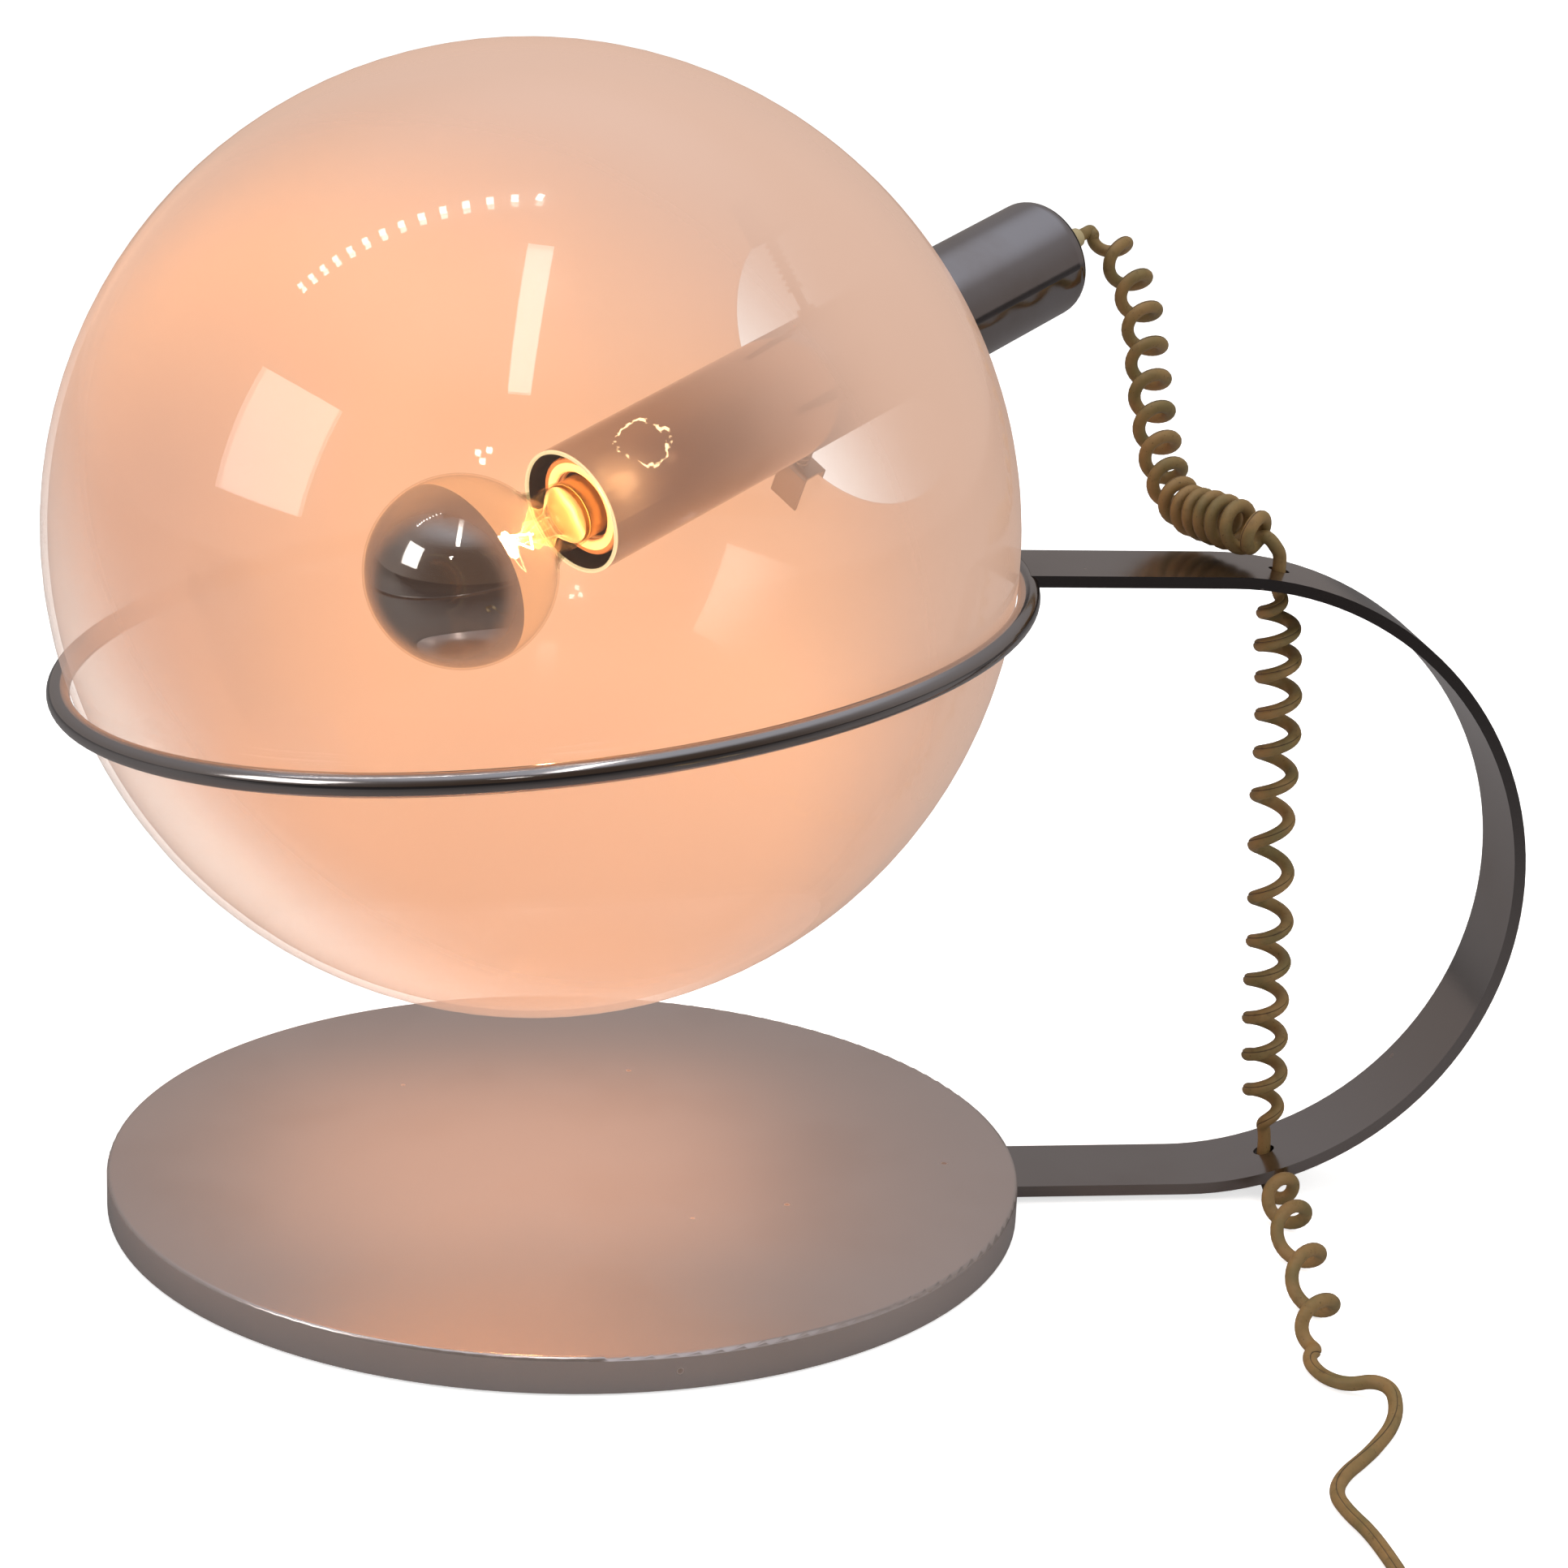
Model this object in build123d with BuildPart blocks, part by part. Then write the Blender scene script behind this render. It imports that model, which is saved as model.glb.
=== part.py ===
from build123d import *
from math import acos, cos, degrees, pi, radians, sin, sqrt, tan
import os

# Glass globe table lamp. A blown globe lies in a tilted steel ring, a flat steel strap carries the
# ring over a round weighted base, and a tube lamp is clipped in the globe's opening.
# Millimetres. Origin: centre of the base on the table, +Z up, +X towards the strap.

# Base
base_radius = 196.5
base_height = 16.5
base_edge_radius = 1.8
cover_wall = 1.2
cover_lift = 1.0
cover_play = 0.3
felt_thickness = 2.0
felt_radius = 188.0
weight_rim_width = 16.0
slot_depth = 24.0

# Strap: a flat bar bent to a C, its foot in the base and its head on the ring
strap_width = 45.0
strap_thickness = 5.0
strap_bend_radius = 140.0
strap_bend_x = 272.0
strap_foot_z = 3.3
strap_tongue_x = 108.0
strap_play = 0.4
strap_screw_radius = 3.0
strap_screw_head_radius = 6.0
strap_screw_length = 10.0
strap_screw_x = 142.0
strap_screw_pitch_x = 40.0
strap_screw_pitch_y = 24.0
screw_play = 0.1
upper_hole_x = 297.0
lower_hole_x = 312.0
cord_hole_radius = 4.5

# Ring that the globe lies in
rod_radius = 4.75
ring_tilt = 7.2
ring_head_x = 185.2
ring_head_drop = 4.5
weld_gap = 0.05

# Globe
globe_radius = 200.0
globe_wall = 3.0
globe_rise = 41.6
globe_play = 0.3
opening_radius = 67.0
lip_radius = 1.3

# Lamp tube, on an axis through the centre of the globe
light_azimuth = 37.3
light_elevation = 15.8
tube_radius = 27.5
tube_wall = 1.5
tube_mouth = 20.0
tube_end = 324.0
tube_end_radius = 9.0
tube_hole_radius = 5.0

# Cord gland in the tube's end
gland_neck_play = 0.1
gland_flange_radius = 8.0
gland_flange = 2.5
gland_tail_radius = 4.4
gland_length = 21.0
gland_bore_play = 0.15

# Lampholder
holder_radius = 22.0
holder_front = 26.0
holder_length = 50.0
holder_wall = 2.0
holder_floor = 54.0
holder_floor_thickness = 6.0
shell_radius = 14.6
shell_wall = 0.6
shell_length = 24.0
shell_play = 0.2
contact_width = 6.0
contact_thickness = 0.6
plate_thickness = 2.0
plate_play = 0.15
nipple_radius = 5.0
nipple_bore = 3.4
nipple_length = 20.0
nipple_reach = 7.0
nut_across_flats = 14.0
nut_thickness = 3.0

# Bulb with a mirrored front
bulb_radius = 40.0
bulb_centre = -41.0
bulb_glass_wall = 0.9
bulb_neck_radius = 14.0
bulb_shoulder_angle = 40.0
bulb_neck_end = 19.0
bulb_cap_radius = 13.2
bulb_cap_front = 18.0
bulb_cap_length = 24.5
bulb_cap_wall = 0.5
bulb_button_radius = 4.5
bulb_button_thickness = 1.5
bulb_insulator_thickness = 4.0
bulb_play = 0.1
mirror_thickness = 0.2
mirror_edge = 2.0
stem_radius = 6.5
stem_tip = -2.0
filament_place = -12.0
filament_span = 24.0
filament_wire = 0.8

# Three sprung clips that hold the tube in the opening
clip_angles = (2.0, 122.0, 242.0)
clip_drop = 7.15
pin_radius = 2.0
pin_head_radius = 3.2
pin_head_play = 0.2
pin_head_thickness = 1.9
pin_collar_radius = 3.6
pin_collar_start = 38.5
pin_collar_thickness = 1.6
pin_nut_radius = 4.2
pin_nut_thickness = 2.4
pin_play = 0.1
hook_strip = 1.2
hook_width = 16.0
hook_web_gap = 3.4
hook_inner_reach = 17.0
hook_outer_reach = 9.0
hook_inner_drop = 11.45
hook_outer_lift = 0.95
hook_bend = 1.4
spring_wire = 1.0
spring_coil_radius = 2.9
spring_turns = 7
spring_gap = 0.1

# Cord
cord_diameter = 5.8
curl_radius = 7.4
curl_phase = -90
table_gap = 0.05
under_bend = 6.09
upper_turns = (1,) * 10 + (1.3,) * 5
upper_first_turn = 1.25
upper_last_turn = 15.75
middle_turns = (1,) * 14
middle_first_turn = 1.75
middle_last_turn = 12.75
table_turns = (1,) * 4
table_last_turn = 3.5
hank_turns_in = 3
hank_turns_out = 2.5
hank_pitch = 6.5
hank_layer = 6.5
hank_inner_radius = 22.4
hank_centre = (229.1, -492.0)

# Switch in the cord
switch_centre = (271.0, -421.0)
switch_length = 58.0
switch_width = 25.0
switch_height = 16.0
switch_split = 8.0
switch_corner = 9.0
switch_edge = 2.5
switch_wall = 2.0
switch_end_wall = 8.0
rocker_length = 22.0
rocker_width = 11.0
rocker_tilt = 8.0
rocker_rise = 4.2
rocker_dip = 2.8
rocker_pivot_z = 12.5
rocker_play = 0.8

# Plug on the end of the cord
plug_axis_z = 7.5
plug_lead = 34.0
plug_sleeve_length = 16.0
plug_sleeve_radius = 4.6
plug_sleeve_wall = 0.8
plug_body_length = 36.0
plug_back_width = 14.0
plug_front_width = 35.0
plug_back_thickness = 10.0
plug_back_corner = 4.0
plug_thickness = 14.0
plug_corner = 6.0
plug_pin_radius = 2.0
plug_pin_length = 19.0
plug_pin_pitch = 18.6

os.makedirs("parts", exist_ok=True)


def save(piece, name):
    """Label one finished piece and write it."""
    piece.part.label = name
    export_step(piece.part, f"parts/{name}.step")


# Places that the pieces share

weight_radius = base_radius - cover_wall - cover_play
strap_top_z = strap_foot_z + 2 * strap_bend_radius
strap_bend_z = strap_foot_z + strap_bend_radius
strap_middle_radius = strap_bend_radius - strap_thickness / 2
strap_inner_radius = strap_bend_radius - strap_thickness
tongue_top_z = strap_foot_z + strap_thickness

tilt = radians(ring_tilt)
ring_along = Vector(cos(tilt), 0, sin(tilt))
ring_up = Vector(-sin(tilt), 0, cos(tilt))
ring_radius = sqrt((globe_radius + rod_radius + globe_play) ** 2 - globe_rise**2)
ring_head = Vector(ring_head_x, 0, strap_top_z - ring_head_drop)
ring_centre = ring_head - ring_along * ring_radius
ring_plane = Plane(origin=ring_centre, x_dir=ring_along, z_dir=ring_up)
globe_centre = ring_centre + ring_up * globe_rise

azimuth = radians(light_azimuth)
elevation = radians(light_elevation)
light_way = Vector(cos(elevation) * cos(azimuth), cos(elevation) * sin(azimuth), sin(elevation))
light_side = Vector(sin(azimuth), -cos(azimuth), 0)
light_axis = Axis(globe_centre, light_way)


def side_way(angle):
    """Direction square to the light axis, at an angle about it."""
    return light_side.rotate(Axis((0, 0, 0), light_way), angle)


def along_plane(angle=0):
    """Plane with its X away from the light axis at an angle and its Y along that axis."""
    return Plane(origin=globe_centre, x_dir=side_way(angle), z_dir=side_way(angle).cross(light_way))


def across_plane(place):
    """Plane square to the light axis at a distance from the globe's centre."""
    return Plane(origin=globe_centre + light_way * place, x_dir=light_side, z_dir=light_way)


def far_corner(corner):
    """How far out and back a corner of a turned profile lies."""
    return corner.X + corner.Y


rim_place = sqrt(globe_radius**2 - opening_radius**2)
clip_place = rim_place - clip_drop
hook_inner_place = rim_place - hook_inner_drop
hook_outer_place = rim_place + hook_outer_lift
hook_web = opening_radius - hook_web_gap
hook_inner_leg = opening_radius + hook_inner_reach
hook_outer_leg = opening_radius + hook_outer_reach
pin_head_start = hook_web + hook_strip / 2 + pin_head_play

tube_bore = tube_radius - tube_wall
gland_bore = cord_diameter / 2 + gland_bore_play
gland_end = tube_end + gland_length
lead_radius = cord_diameter / 2
mirror_radius = bulb_radius - bulb_glass_wall - bulb_play
pin_seat_drop = tube_bore - sqrt(tube_bore**2 - pin_nut_radius**2)
guide_step = 0.001
straight_angle = 0.01
same_direction = 1e-6


# Base

with BuildPart() as base_cover:
    with BuildSketch(Plane.XY.offset(cover_lift)):
        Circle(base_radius)
    extrude(amount=base_height - cover_lift)
    fillet(base_cover.edges().group_by(Axis.Z)[-1], base_edge_radius)
    offset(amount=-cover_wall, openings=base_cover.faces().sort_by(Axis.Z)[0])
    with BuildSketch(Plane.XY.offset(cover_lift)):
        with Locations((base_radius, 0)):
            Rectangle(2 * weight_rim_width, strap_width + 2 * strap_play)
    extrude(amount=tongue_top_z + strap_play - cover_lift, mode=Mode.SUBTRACT)
save(base_cover, "base_cover")

with BuildPart() as base_weight:
    with BuildSketch(Plane.XY.offset(felt_thickness)):
        Circle(weight_radius)
    extrude(amount=base_height - cover_wall - felt_thickness)
    fillet(base_weight.edges().group_by(Axis.Z)[-1], base_edge_radius)
    with BuildSketch(Plane.XY.offset(felt_thickness)):
        Circle(weight_radius - weight_rim_width)
        with Locations((weight_radius, 0)):
            Rectangle(2 * slot_depth, strap_width + 2 * strap_play)
    extrude(amount=tongue_top_z - felt_thickness, mode=Mode.SUBTRACT)
    with Locations(Plane(origin=(strap_screw_x, 0, tongue_top_z), z_dir=(0, 0, -1))):
        with GridLocations(strap_screw_pitch_x, strap_screw_pitch_y, 2, 2):
            Hole(strap_screw_radius + screw_play, strap_screw_length - strap_thickness + screw_play)
save(base_weight, "base_weight")

with BuildPart() as base_felt:
    Cylinder(felt_radius, felt_thickness, align=(Align.CENTER, Align.CENTER, Align.MIN))
save(base_felt, "base_felt")

# Strap and ring

with BuildPart() as strap:
    with BuildSketch(Plane.XZ):
        with BuildLine():
            Line(
                (ring_head_x, strap_top_z - strap_thickness / 2),
                (strap_bend_x, strap_top_z - strap_thickness / 2),
            )
            CenterArc((strap_bend_x, strap_bend_z), strap_middle_radius, 90, -180)
            Line(
                (strap_bend_x, strap_foot_z + strap_thickness / 2),
                (strap_tongue_x, strap_foot_z + strap_thickness / 2),
            )
        trace(line_width=strap_thickness)
    extrude(amount=strap_width / 2, both=True)
    with Locations(Plane(origin=(strap_screw_x, 0, strap_foot_z), z_dir=(0, 0, -1))):
        with GridLocations(strap_screw_pitch_x, strap_screw_pitch_y, 2, 2):
            CounterSinkHole(
                strap_screw_radius + screw_play, strap_screw_head_radius + screw_play, strap_thickness
            )
    with Locations((upper_hole_x, 0, strap_top_z), (lower_hole_x, 0, strap_foot_z)):
        Hole(cord_hole_radius, strap_bend_radius / 2)
    with Locations(ring_plane.location):
        Torus(ring_radius, rod_radius + weld_gap, mode=Mode.SUBTRACT)
save(strap, "strap")

with BuildPart() as strap_screws:
    with Locations(Plane(origin=(strap_screw_x, 0, strap_foot_z))):
        with GridLocations(strap_screw_pitch_x, strap_screw_pitch_y, 2, 2):
            Cylinder(
                strap_screw_radius, strap_screw_length, align=(Align.CENTER, Align.CENTER, Align.MIN)
            )
            Cone(
                strap_screw_head_radius,
                strap_screw_radius,
                strap_screw_head_radius - strap_screw_radius,
                align=(Align.CENTER, Align.CENTER, Align.MIN),
            )
save(strap_screws, "strap_screws")

with BuildPart(ring_plane) as globe_ring:
    Torus(ring_radius, rod_radius)
save(globe_ring, "globe_ring")

# Globe

inner_radius = globe_radius - globe_wall
with BuildPart() as globe:
    with BuildSketch(along_plane()) as globe_section:
        with BuildLine():
            outer = CenterArc((0, 0), globe_radius, -90, 90 + degrees(acos(opening_radius / globe_radius)))
            inner = CenterArc((0, 0), inner_radius, -90, 90 + degrees(acos(opening_radius / inner_radius)))
            Line(outer @ 0, inner @ 0)
            Line(outer @ 1, inner @ 1)
        make_face()
        fillet(globe_section.vertices().filter_by(lambda corner: corner.X > 1), lip_radius)
    revolve(axis=light_axis)
save(globe, "globe")

# Lamp tube and its fittings

with BuildPart() as lamp_tube:
    with BuildSketch(along_plane()) as tube_section:
        with BuildLine():
            Polyline(
                (tube_bore, tube_mouth),
                (tube_radius, tube_mouth),
                (tube_radius, tube_end),
                (tube_hole_radius, tube_end),
                (tube_hole_radius, tube_end - tube_wall),
                (tube_bore, tube_end - tube_wall),
                close=True,
            )
        make_face()
        fillet(tube_section.vertices().sort_by(far_corner)[-1], tube_end_radius)
        fillet(tube_section.vertices().sort_by(far_corner)[-1], tube_end_radius - tube_wall)
    revolve(axis=light_axis)
    with Locations(across_plane(clip_place)):
        with PolarLocations(0, len(clip_angles), start_angle=clip_angles[0]):
            Cylinder(
                pin_radius + pin_play, tube_radius + pin_nut_radius, rotation=(0, 90, 0),
                align=(Align.CENTER, Align.CENTER, Align.MIN), mode=Mode.SUBTRACT,
            )
save(lamp_tube, "lamp_tube")

with BuildPart() as cord_gland:
    with BuildSketch(along_plane()):
        with BuildLine():
            Polyline(
                (gland_bore, tube_end - tube_wall - gland_flange),
                (gland_flange_radius, tube_end - tube_wall - gland_flange),
                (gland_flange_radius, tube_end - tube_wall),
                (tube_hole_radius - gland_neck_play, tube_end - tube_wall),
                (tube_hole_radius - gland_neck_play, tube_end),
                (gland_flange_radius, tube_end),
                (gland_flange_radius, tube_end + gland_flange),
                (gland_tail_radius, gland_end),
                (gland_bore, gland_end),
                close=True,
            )
        make_face()
    revolve(axis=light_axis)
save(cord_gland, "cord_gland")

# Lampholder

holder_back = holder_front + holder_length
with BuildPart() as holder_body:
    with BuildSketch(along_plane()) as holder_section:
        with BuildLine():
            Polyline(
                (shell_radius + shell_wall + shell_play, holder_front),
                (holder_radius, holder_front),
                (holder_radius, holder_back),
                (holder_radius - holder_wall, holder_back),
                (holder_radius - holder_wall, holder_floor + holder_floor_thickness),
                (lead_radius + gland_bore_play, holder_floor + holder_floor_thickness),
                (lead_radius + gland_bore_play, holder_floor),
                (shell_radius + shell_wall + shell_play, holder_floor),
                close=True,
            )
        make_face()
        fillet(holder_section.vertices().group_by(Axis.Y)[0], holder_wall / 2)
    revolve(axis=light_axis)
save(holder_body, "holder_body")

with BuildPart() as holder_screw_shell:
    with BuildSketch(along_plane()):
        with Locations((shell_radius + shell_wall / 2, holder_floor - shell_length / 2)):
            Rectangle(shell_wall, shell_length)
    revolve(axis=light_axis)
save(holder_screw_shell, "holder_screw_shell")

button_end = bulb_cap_front + bulb_cap_length + bulb_insulator_thickness + bulb_button_thickness
contact_rise = button_end + bulb_play + contact_thickness / 2
with BuildPart() as holder_contact:
    with BuildSketch(along_plane()):
        with BuildLine():
            Polyline(
                (-contact_width * 2, holder_floor - contact_thickness / 2),
                (-contact_width, holder_floor - contact_thickness / 2),
                (-contact_width / 2, contact_rise),
                (contact_width / 2, contact_rise),
                (contact_width, contact_rise + contact_thickness),
            )
        trace(line_width=contact_thickness)
    extrude(amount=contact_width / 2, both=True)
save(holder_contact, "holder_contact")

with BuildPart() as holder_plate:
    with BuildSketch(across_plane(holder_back)):
        Circle(tube_bore - plate_play)
        Circle(nipple_radius + plate_play, mode=Mode.SUBTRACT)
    extrude(amount=plate_thickness)
save(holder_plate, "holder_plate")

with BuildPart() as holder_nipple:
    with BuildSketch(across_plane(holder_back - nipple_reach)):
        Circle(nipple_radius)
        Circle(nipple_bore, mode=Mode.SUBTRACT)
    extrude(amount=nipple_length)
save(holder_nipple, "holder_nipple")

with BuildPart() as holder_nuts:
    with BuildSketch(
        across_plane(holder_back - nut_thickness), across_plane(holder_back + plate_thickness)
    ):
        RegularPolygon(nut_across_flats / 2, 6, major_radius=False)
        Circle(nipple_radius + plate_play, mode=Mode.SUBTRACT)
    extrude(amount=nut_thickness)
save(holder_nuts, "holder_nuts")

with BuildPart() as inner_lead:
    with BuildSketch(across_plane(holder_floor + contact_width)):
        Circle(lead_radius)
    extrude(amount=gland_end - holder_floor - contact_width)
save(inner_lead, "inner_lead")

# Bulb

shoulder = radians(bulb_shoulder_angle)
shoulder_x = bulb_radius * sin(shoulder)
neck_bend = (shoulder_x - bulb_neck_radius) / (1 - sin(shoulder))
with BuildPart() as bulb_glass:
    with BuildSketch(along_plane()):
        with BuildLine() as bulb_outline:
            CenterArc((0, bulb_centre), bulb_radius, -90, 180 - bulb_shoulder_angle)
            JernArc(
                bulb_outline.line @ 1, bulb_outline.line % 1, neck_bend, bulb_shoulder_angle - 90
            )
            Line(bulb_outline.line @ 1, (bulb_neck_radius, bulb_neck_end))
            offset(amount=-bulb_glass_wall, side=Side.LEFT)
        make_face()
    revolve(axis=light_axis)
save(bulb_glass, "bulb_glass")

with BuildPart() as bulb_mirror:
    with BuildSketch(along_plane()):
        with BuildLine():
            mirror_outer = CenterArc((0, bulb_centre), mirror_radius, -90, 90 - mirror_edge)
            mirror_inner = CenterArc(
                (0, bulb_centre), mirror_radius - mirror_thickness, -90, 90 - mirror_edge
            )
            Line(mirror_outer @ 0, mirror_inner @ 0)
            Line(mirror_outer @ 1, mirror_inner @ 1)
        make_face()
    revolve(axis=light_axis)
save(bulb_mirror, "bulb_mirror")

cap_back = bulb_cap_front + bulb_cap_length
with BuildPart() as bulb_cap:
    with BuildSketch(along_plane()) as cap_section:
        with BuildLine():
            Polyline(
                (bulb_cap_radius - bulb_cap_wall, bulb_neck_end + bulb_play),
                (bulb_cap_radius, bulb_neck_end + bulb_play),
                (bulb_cap_radius, cap_back),
                (bulb_button_radius + bulb_cap_wall, cap_back + bulb_insulator_thickness / 2),
                (bulb_button_radius + bulb_cap_wall, cap_back),
                (bulb_cap_radius - bulb_cap_wall, cap_back - bulb_cap_wall),
                close=True,
            )
        make_face()
    revolve(axis=light_axis)
save(bulb_cap, "bulb_cap")

with BuildPart() as bulb_insulator:
    with BuildSketch(across_plane(cap_back)):
        Circle(bulb_button_radius)
    extrude(amount=bulb_insulator_thickness)
save(bulb_insulator, "bulb_insulator")

with BuildPart() as bulb_button:
    with BuildSketch(across_plane(cap_back + bulb_insulator_thickness)):
        Circle(bulb_button_radius)
    extrude(amount=bulb_button_thickness)
    fillet(bulb_button.edges().sort_by(light_axis)[-1], bulb_button_thickness / 2)
save(bulb_button, "bulb_button")

with BuildPart() as bulb_stem:
    with BuildSketch(along_plane()):
        with BuildLine():
            Polyline(
                (0, stem_tip),
                (stem_radius / 3, stem_tip),
                (stem_radius / 3, stem_tip + stem_radius),
                (stem_radius / 2, bulb_neck_end - stem_radius),
                (bulb_neck_radius - bulb_glass_wall - bulb_play, bulb_neck_end - bulb_glass_wall),
                (bulb_neck_radius - bulb_glass_wall - bulb_play, bulb_neck_end),
                (0, bulb_neck_end),
                close=True,
            )
        make_face()
    revolve(axis=light_axis)
save(bulb_stem, "bulb_stem")

with BuildPart() as bulb_filament:
    with BuildLine(along_plane()) as filament_line:
        Polyline(
            (-stem_radius / 6, stem_tip - bulb_play),
            (-stem_radius / 6, stem_tip - 2 * filament_wire),
            (-filament_span / 2, filament_place),
            (-filament_span / 6, filament_place - filament_wire),
            (filament_span / 6, filament_place + filament_wire),
            (filament_span / 2, filament_place),
            (stem_radius / 6, stem_tip - 2 * filament_wire),
            (stem_radius / 6, stem_tip - bulb_play),
        )
    with BuildSketch(Plane(origin=filament_line.line @ 0, z_dir=filament_line.line % 0)):
        Circle(filament_wire / 2)
    sweep(transition=Transition.ROUND)
save(bulb_filament, "bulb_filament")

# Wound wire: a helix about a smooth guide, as pairs of arcs through points half a turn apart


def guide_point(corners, place):
    """Point on a smooth guide, which is one parabola for each inner corner of its polygon."""
    span = min(int(place), len(corners) - 3)
    start, middle, end = corners[span : span + 3]
    if span > 0:
        start = (start + middle) / 2
    if span < len(corners) - 3:
        end = (middle + end) / 2
    share = place - span
    return start * (1 - share) ** 2 + middle * (2 * share * (1 - share)) + end * share**2


def guide_place(turns, turn):
    """Place along the guide that a turn of the helix is at, from the turns on each parabola."""
    for span, count in enumerate(turns):
        if turn <= count:
            return span + turn / count
        turn -= count
    return len(turns) + turn


def wound_point(corners, turns, radius, phase, turn):
    """Point on the helix: the guide's point, and a radius away from it at the turn's angle."""
    place = guide_place(turns, turn)
    before = guide_point(corners, place - guide_step)
    after = guide_point(corners, place + guide_step)
    forward = (after - before).normalized()
    side = (Vector(1, 0, 0) - forward * forward.X).normalized()
    rise = forward.cross(side)
    angle = radians(phase) + 2 * pi * turn
    centre = guide_point(corners, place)
    return centre + side * (radius * cos(angle)) + rise * (radius * sin(angle))


def wound_stops(corners, turns, radius, phase, first, last):
    """Points on the helix from one turn to another, half a turn apart, with their directions."""
    stops = []
    for step in range(round(2 * (last - first)) + 1):
        turn = first + step / 2
        point = wound_point(corners, turns, radius, phase, turn)
        before = wound_point(corners, turns, radius, phase, turn - guide_step)
        after = wound_point(corners, turns, radius, phase, turn + guide_step)
        stops.append((point, (after - before).normalized()))
    return stops


def wind(stops):
    """Draw straight lines and pairs of arcs that meet smoothly through points with directions."""
    for (start, leaving), (end, arriving) in zip(stops, stops[1:]):
        chord = end - start
        if chord.get_angle(leaving) < straight_angle:
            Line(start, end)
            continue
        both = leaving + arriving
        square = 2 * (1 - leaving.dot(arriving))
        along = chord.dot(both)
        reach = chord.dot(chord) / (2 * along)
        if square > same_direction:
            reach = (sqrt(along**2 + square * chord.dot(chord)) - along) / square
        meeting = (start + leaving * reach + end - arriving * reach) / 2
        TangentArc(start, meeting, tangent=leaving)
        TangentArc(end, meeting, tangent=arriving * -1)


def report_wire(name, wire, diameter):
    """Print a wire's length, its tightest arc and its least gap to itself."""
    arcs = [edge.radius for edge in wire.edges() if edge.geom_type == GeomType.CIRCLE]
    count = int(wire.length)
    points = [wire @ (index / count) for index in range(count + 1)]
    apart = round(3 * diameter)
    gap = min(
        (points[one] - points[other]).length
        for one in range(len(points))
        for other in range(one + apart, len(points))
    )
    print(f"{name}: length {wire.length:.0f}, least radius {min(arcs):.1f}, least gap {gap - diameter:.2f}")


# Clips

for number, angle in enumerate(clip_angles, start=1):
    out = side_way(angle)
    pin_axis = Axis(globe_centre + light_way * clip_place, out)
    pin_turn_plane = Plane(
        origin=globe_centre + light_way * clip_place, x_dir=light_way, z_dir=light_way.cross(out)
    )
    with BuildPart() as clip_pin:
        with BuildSketch(pin_turn_plane):
            for radius, start, end in (
                (pin_radius, tube_bore - pin_nut_thickness, pin_head_start + pin_head_thickness),
                (pin_nut_radius, tube_bore - 2 * pin_nut_thickness, tube_bore - pin_seat_drop),
                (pin_nut_radius, tube_radius, tube_radius + pin_nut_thickness),
                (pin_collar_radius, pin_collar_start, pin_collar_start + pin_collar_thickness),
                (pin_head_radius, pin_head_start, pin_head_start + pin_head_thickness),
            ):
                with Locations((radius / 2, (start + end) / 2)):
                    Rectangle(radius, end - start)
        revolve(axis=pin_axis)
    save(clip_pin, f"clip_pin_{number}")

    with BuildPart() as clip_hook:
        with BuildSketch(along_plane(angle)):
            with BuildLine():
                FilletPolyline(
                    (hook_inner_leg, hook_inner_place),
                    (hook_web, hook_inner_place),
                    (hook_web, hook_outer_place),
                    (hook_outer_leg, hook_outer_place),
                    radius=hook_bend,
                )
            trace(line_width=hook_strip)
        extrude(amount=hook_width / 2, both=True)
        with Locations(Plane(origin=pin_axis.position + out * (hook_web + hook_strip), z_dir=out)):
            Hole(pin_radius + pin_play, 2 * hook_strip)
    save(clip_hook, f"clip_hook_{number}")

    spring_start = pin_collar_start + pin_collar_thickness + spring_wire / 2 + spring_gap
    spring_end = hook_web - hook_strip / 2 - spring_wire / 2 - spring_gap
    spring_guide = [
        pin_axis.position + out * spring_start,
        pin_axis.position + out * (spring_start + spring_end) / 2,
        pin_axis.position + out * spring_end,
    ]
    with BuildPart() as clip_spring:
        with BuildLine() as spring_line:
            wind(wound_stops(spring_guide, (spring_turns,), spring_coil_radius, 0, 0, spring_turns))
        with BuildSketch(Plane(origin=spring_line.line @ 0, z_dir=spring_line.line % 0)):
            Circle(spring_wire / 2)
        sweep()
    save(clip_spring, f"clip_spring_{number}")
    report_wire(f"clip_spring_{number}", spring_line.wires()[0], spring_wire)

# Switch and plug: where the cord meets them

switch_front = Vector(switch_centre[0], switch_centre[1] + switch_length / 2, switch_split)
switch_back = Vector(switch_centre[0], switch_centre[1] - switch_length / 2, switch_split)
plug_mouth = Vector(
    hank_centre[0] - hank_inner_radius - hank_pitch * hank_turns_out,
    hank_centre[1] + plug_lead,
    plug_axis_z,
)

# Cord. Guide points are chosen by hand, one for each turn in the open stretches.

cord_radius = cord_diameter / 2
laid_z = cord_radius + table_gap
curl_laid_z = laid_z + curl_radius
gland_mouth = globe_centre + light_way * gland_end
strap_upper_bottom = strap_bend_z + sqrt(strap_inner_radius**2 - (upper_hole_x - strap_bend_x) ** 2)
strap_lower_top = strap_bend_z - sqrt(strap_inner_radius**2 - (lower_hole_x - strap_bend_x) ** 2)
down = Vector(0, 0, -1)
towards = Vector(0, -1, 0)

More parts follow.
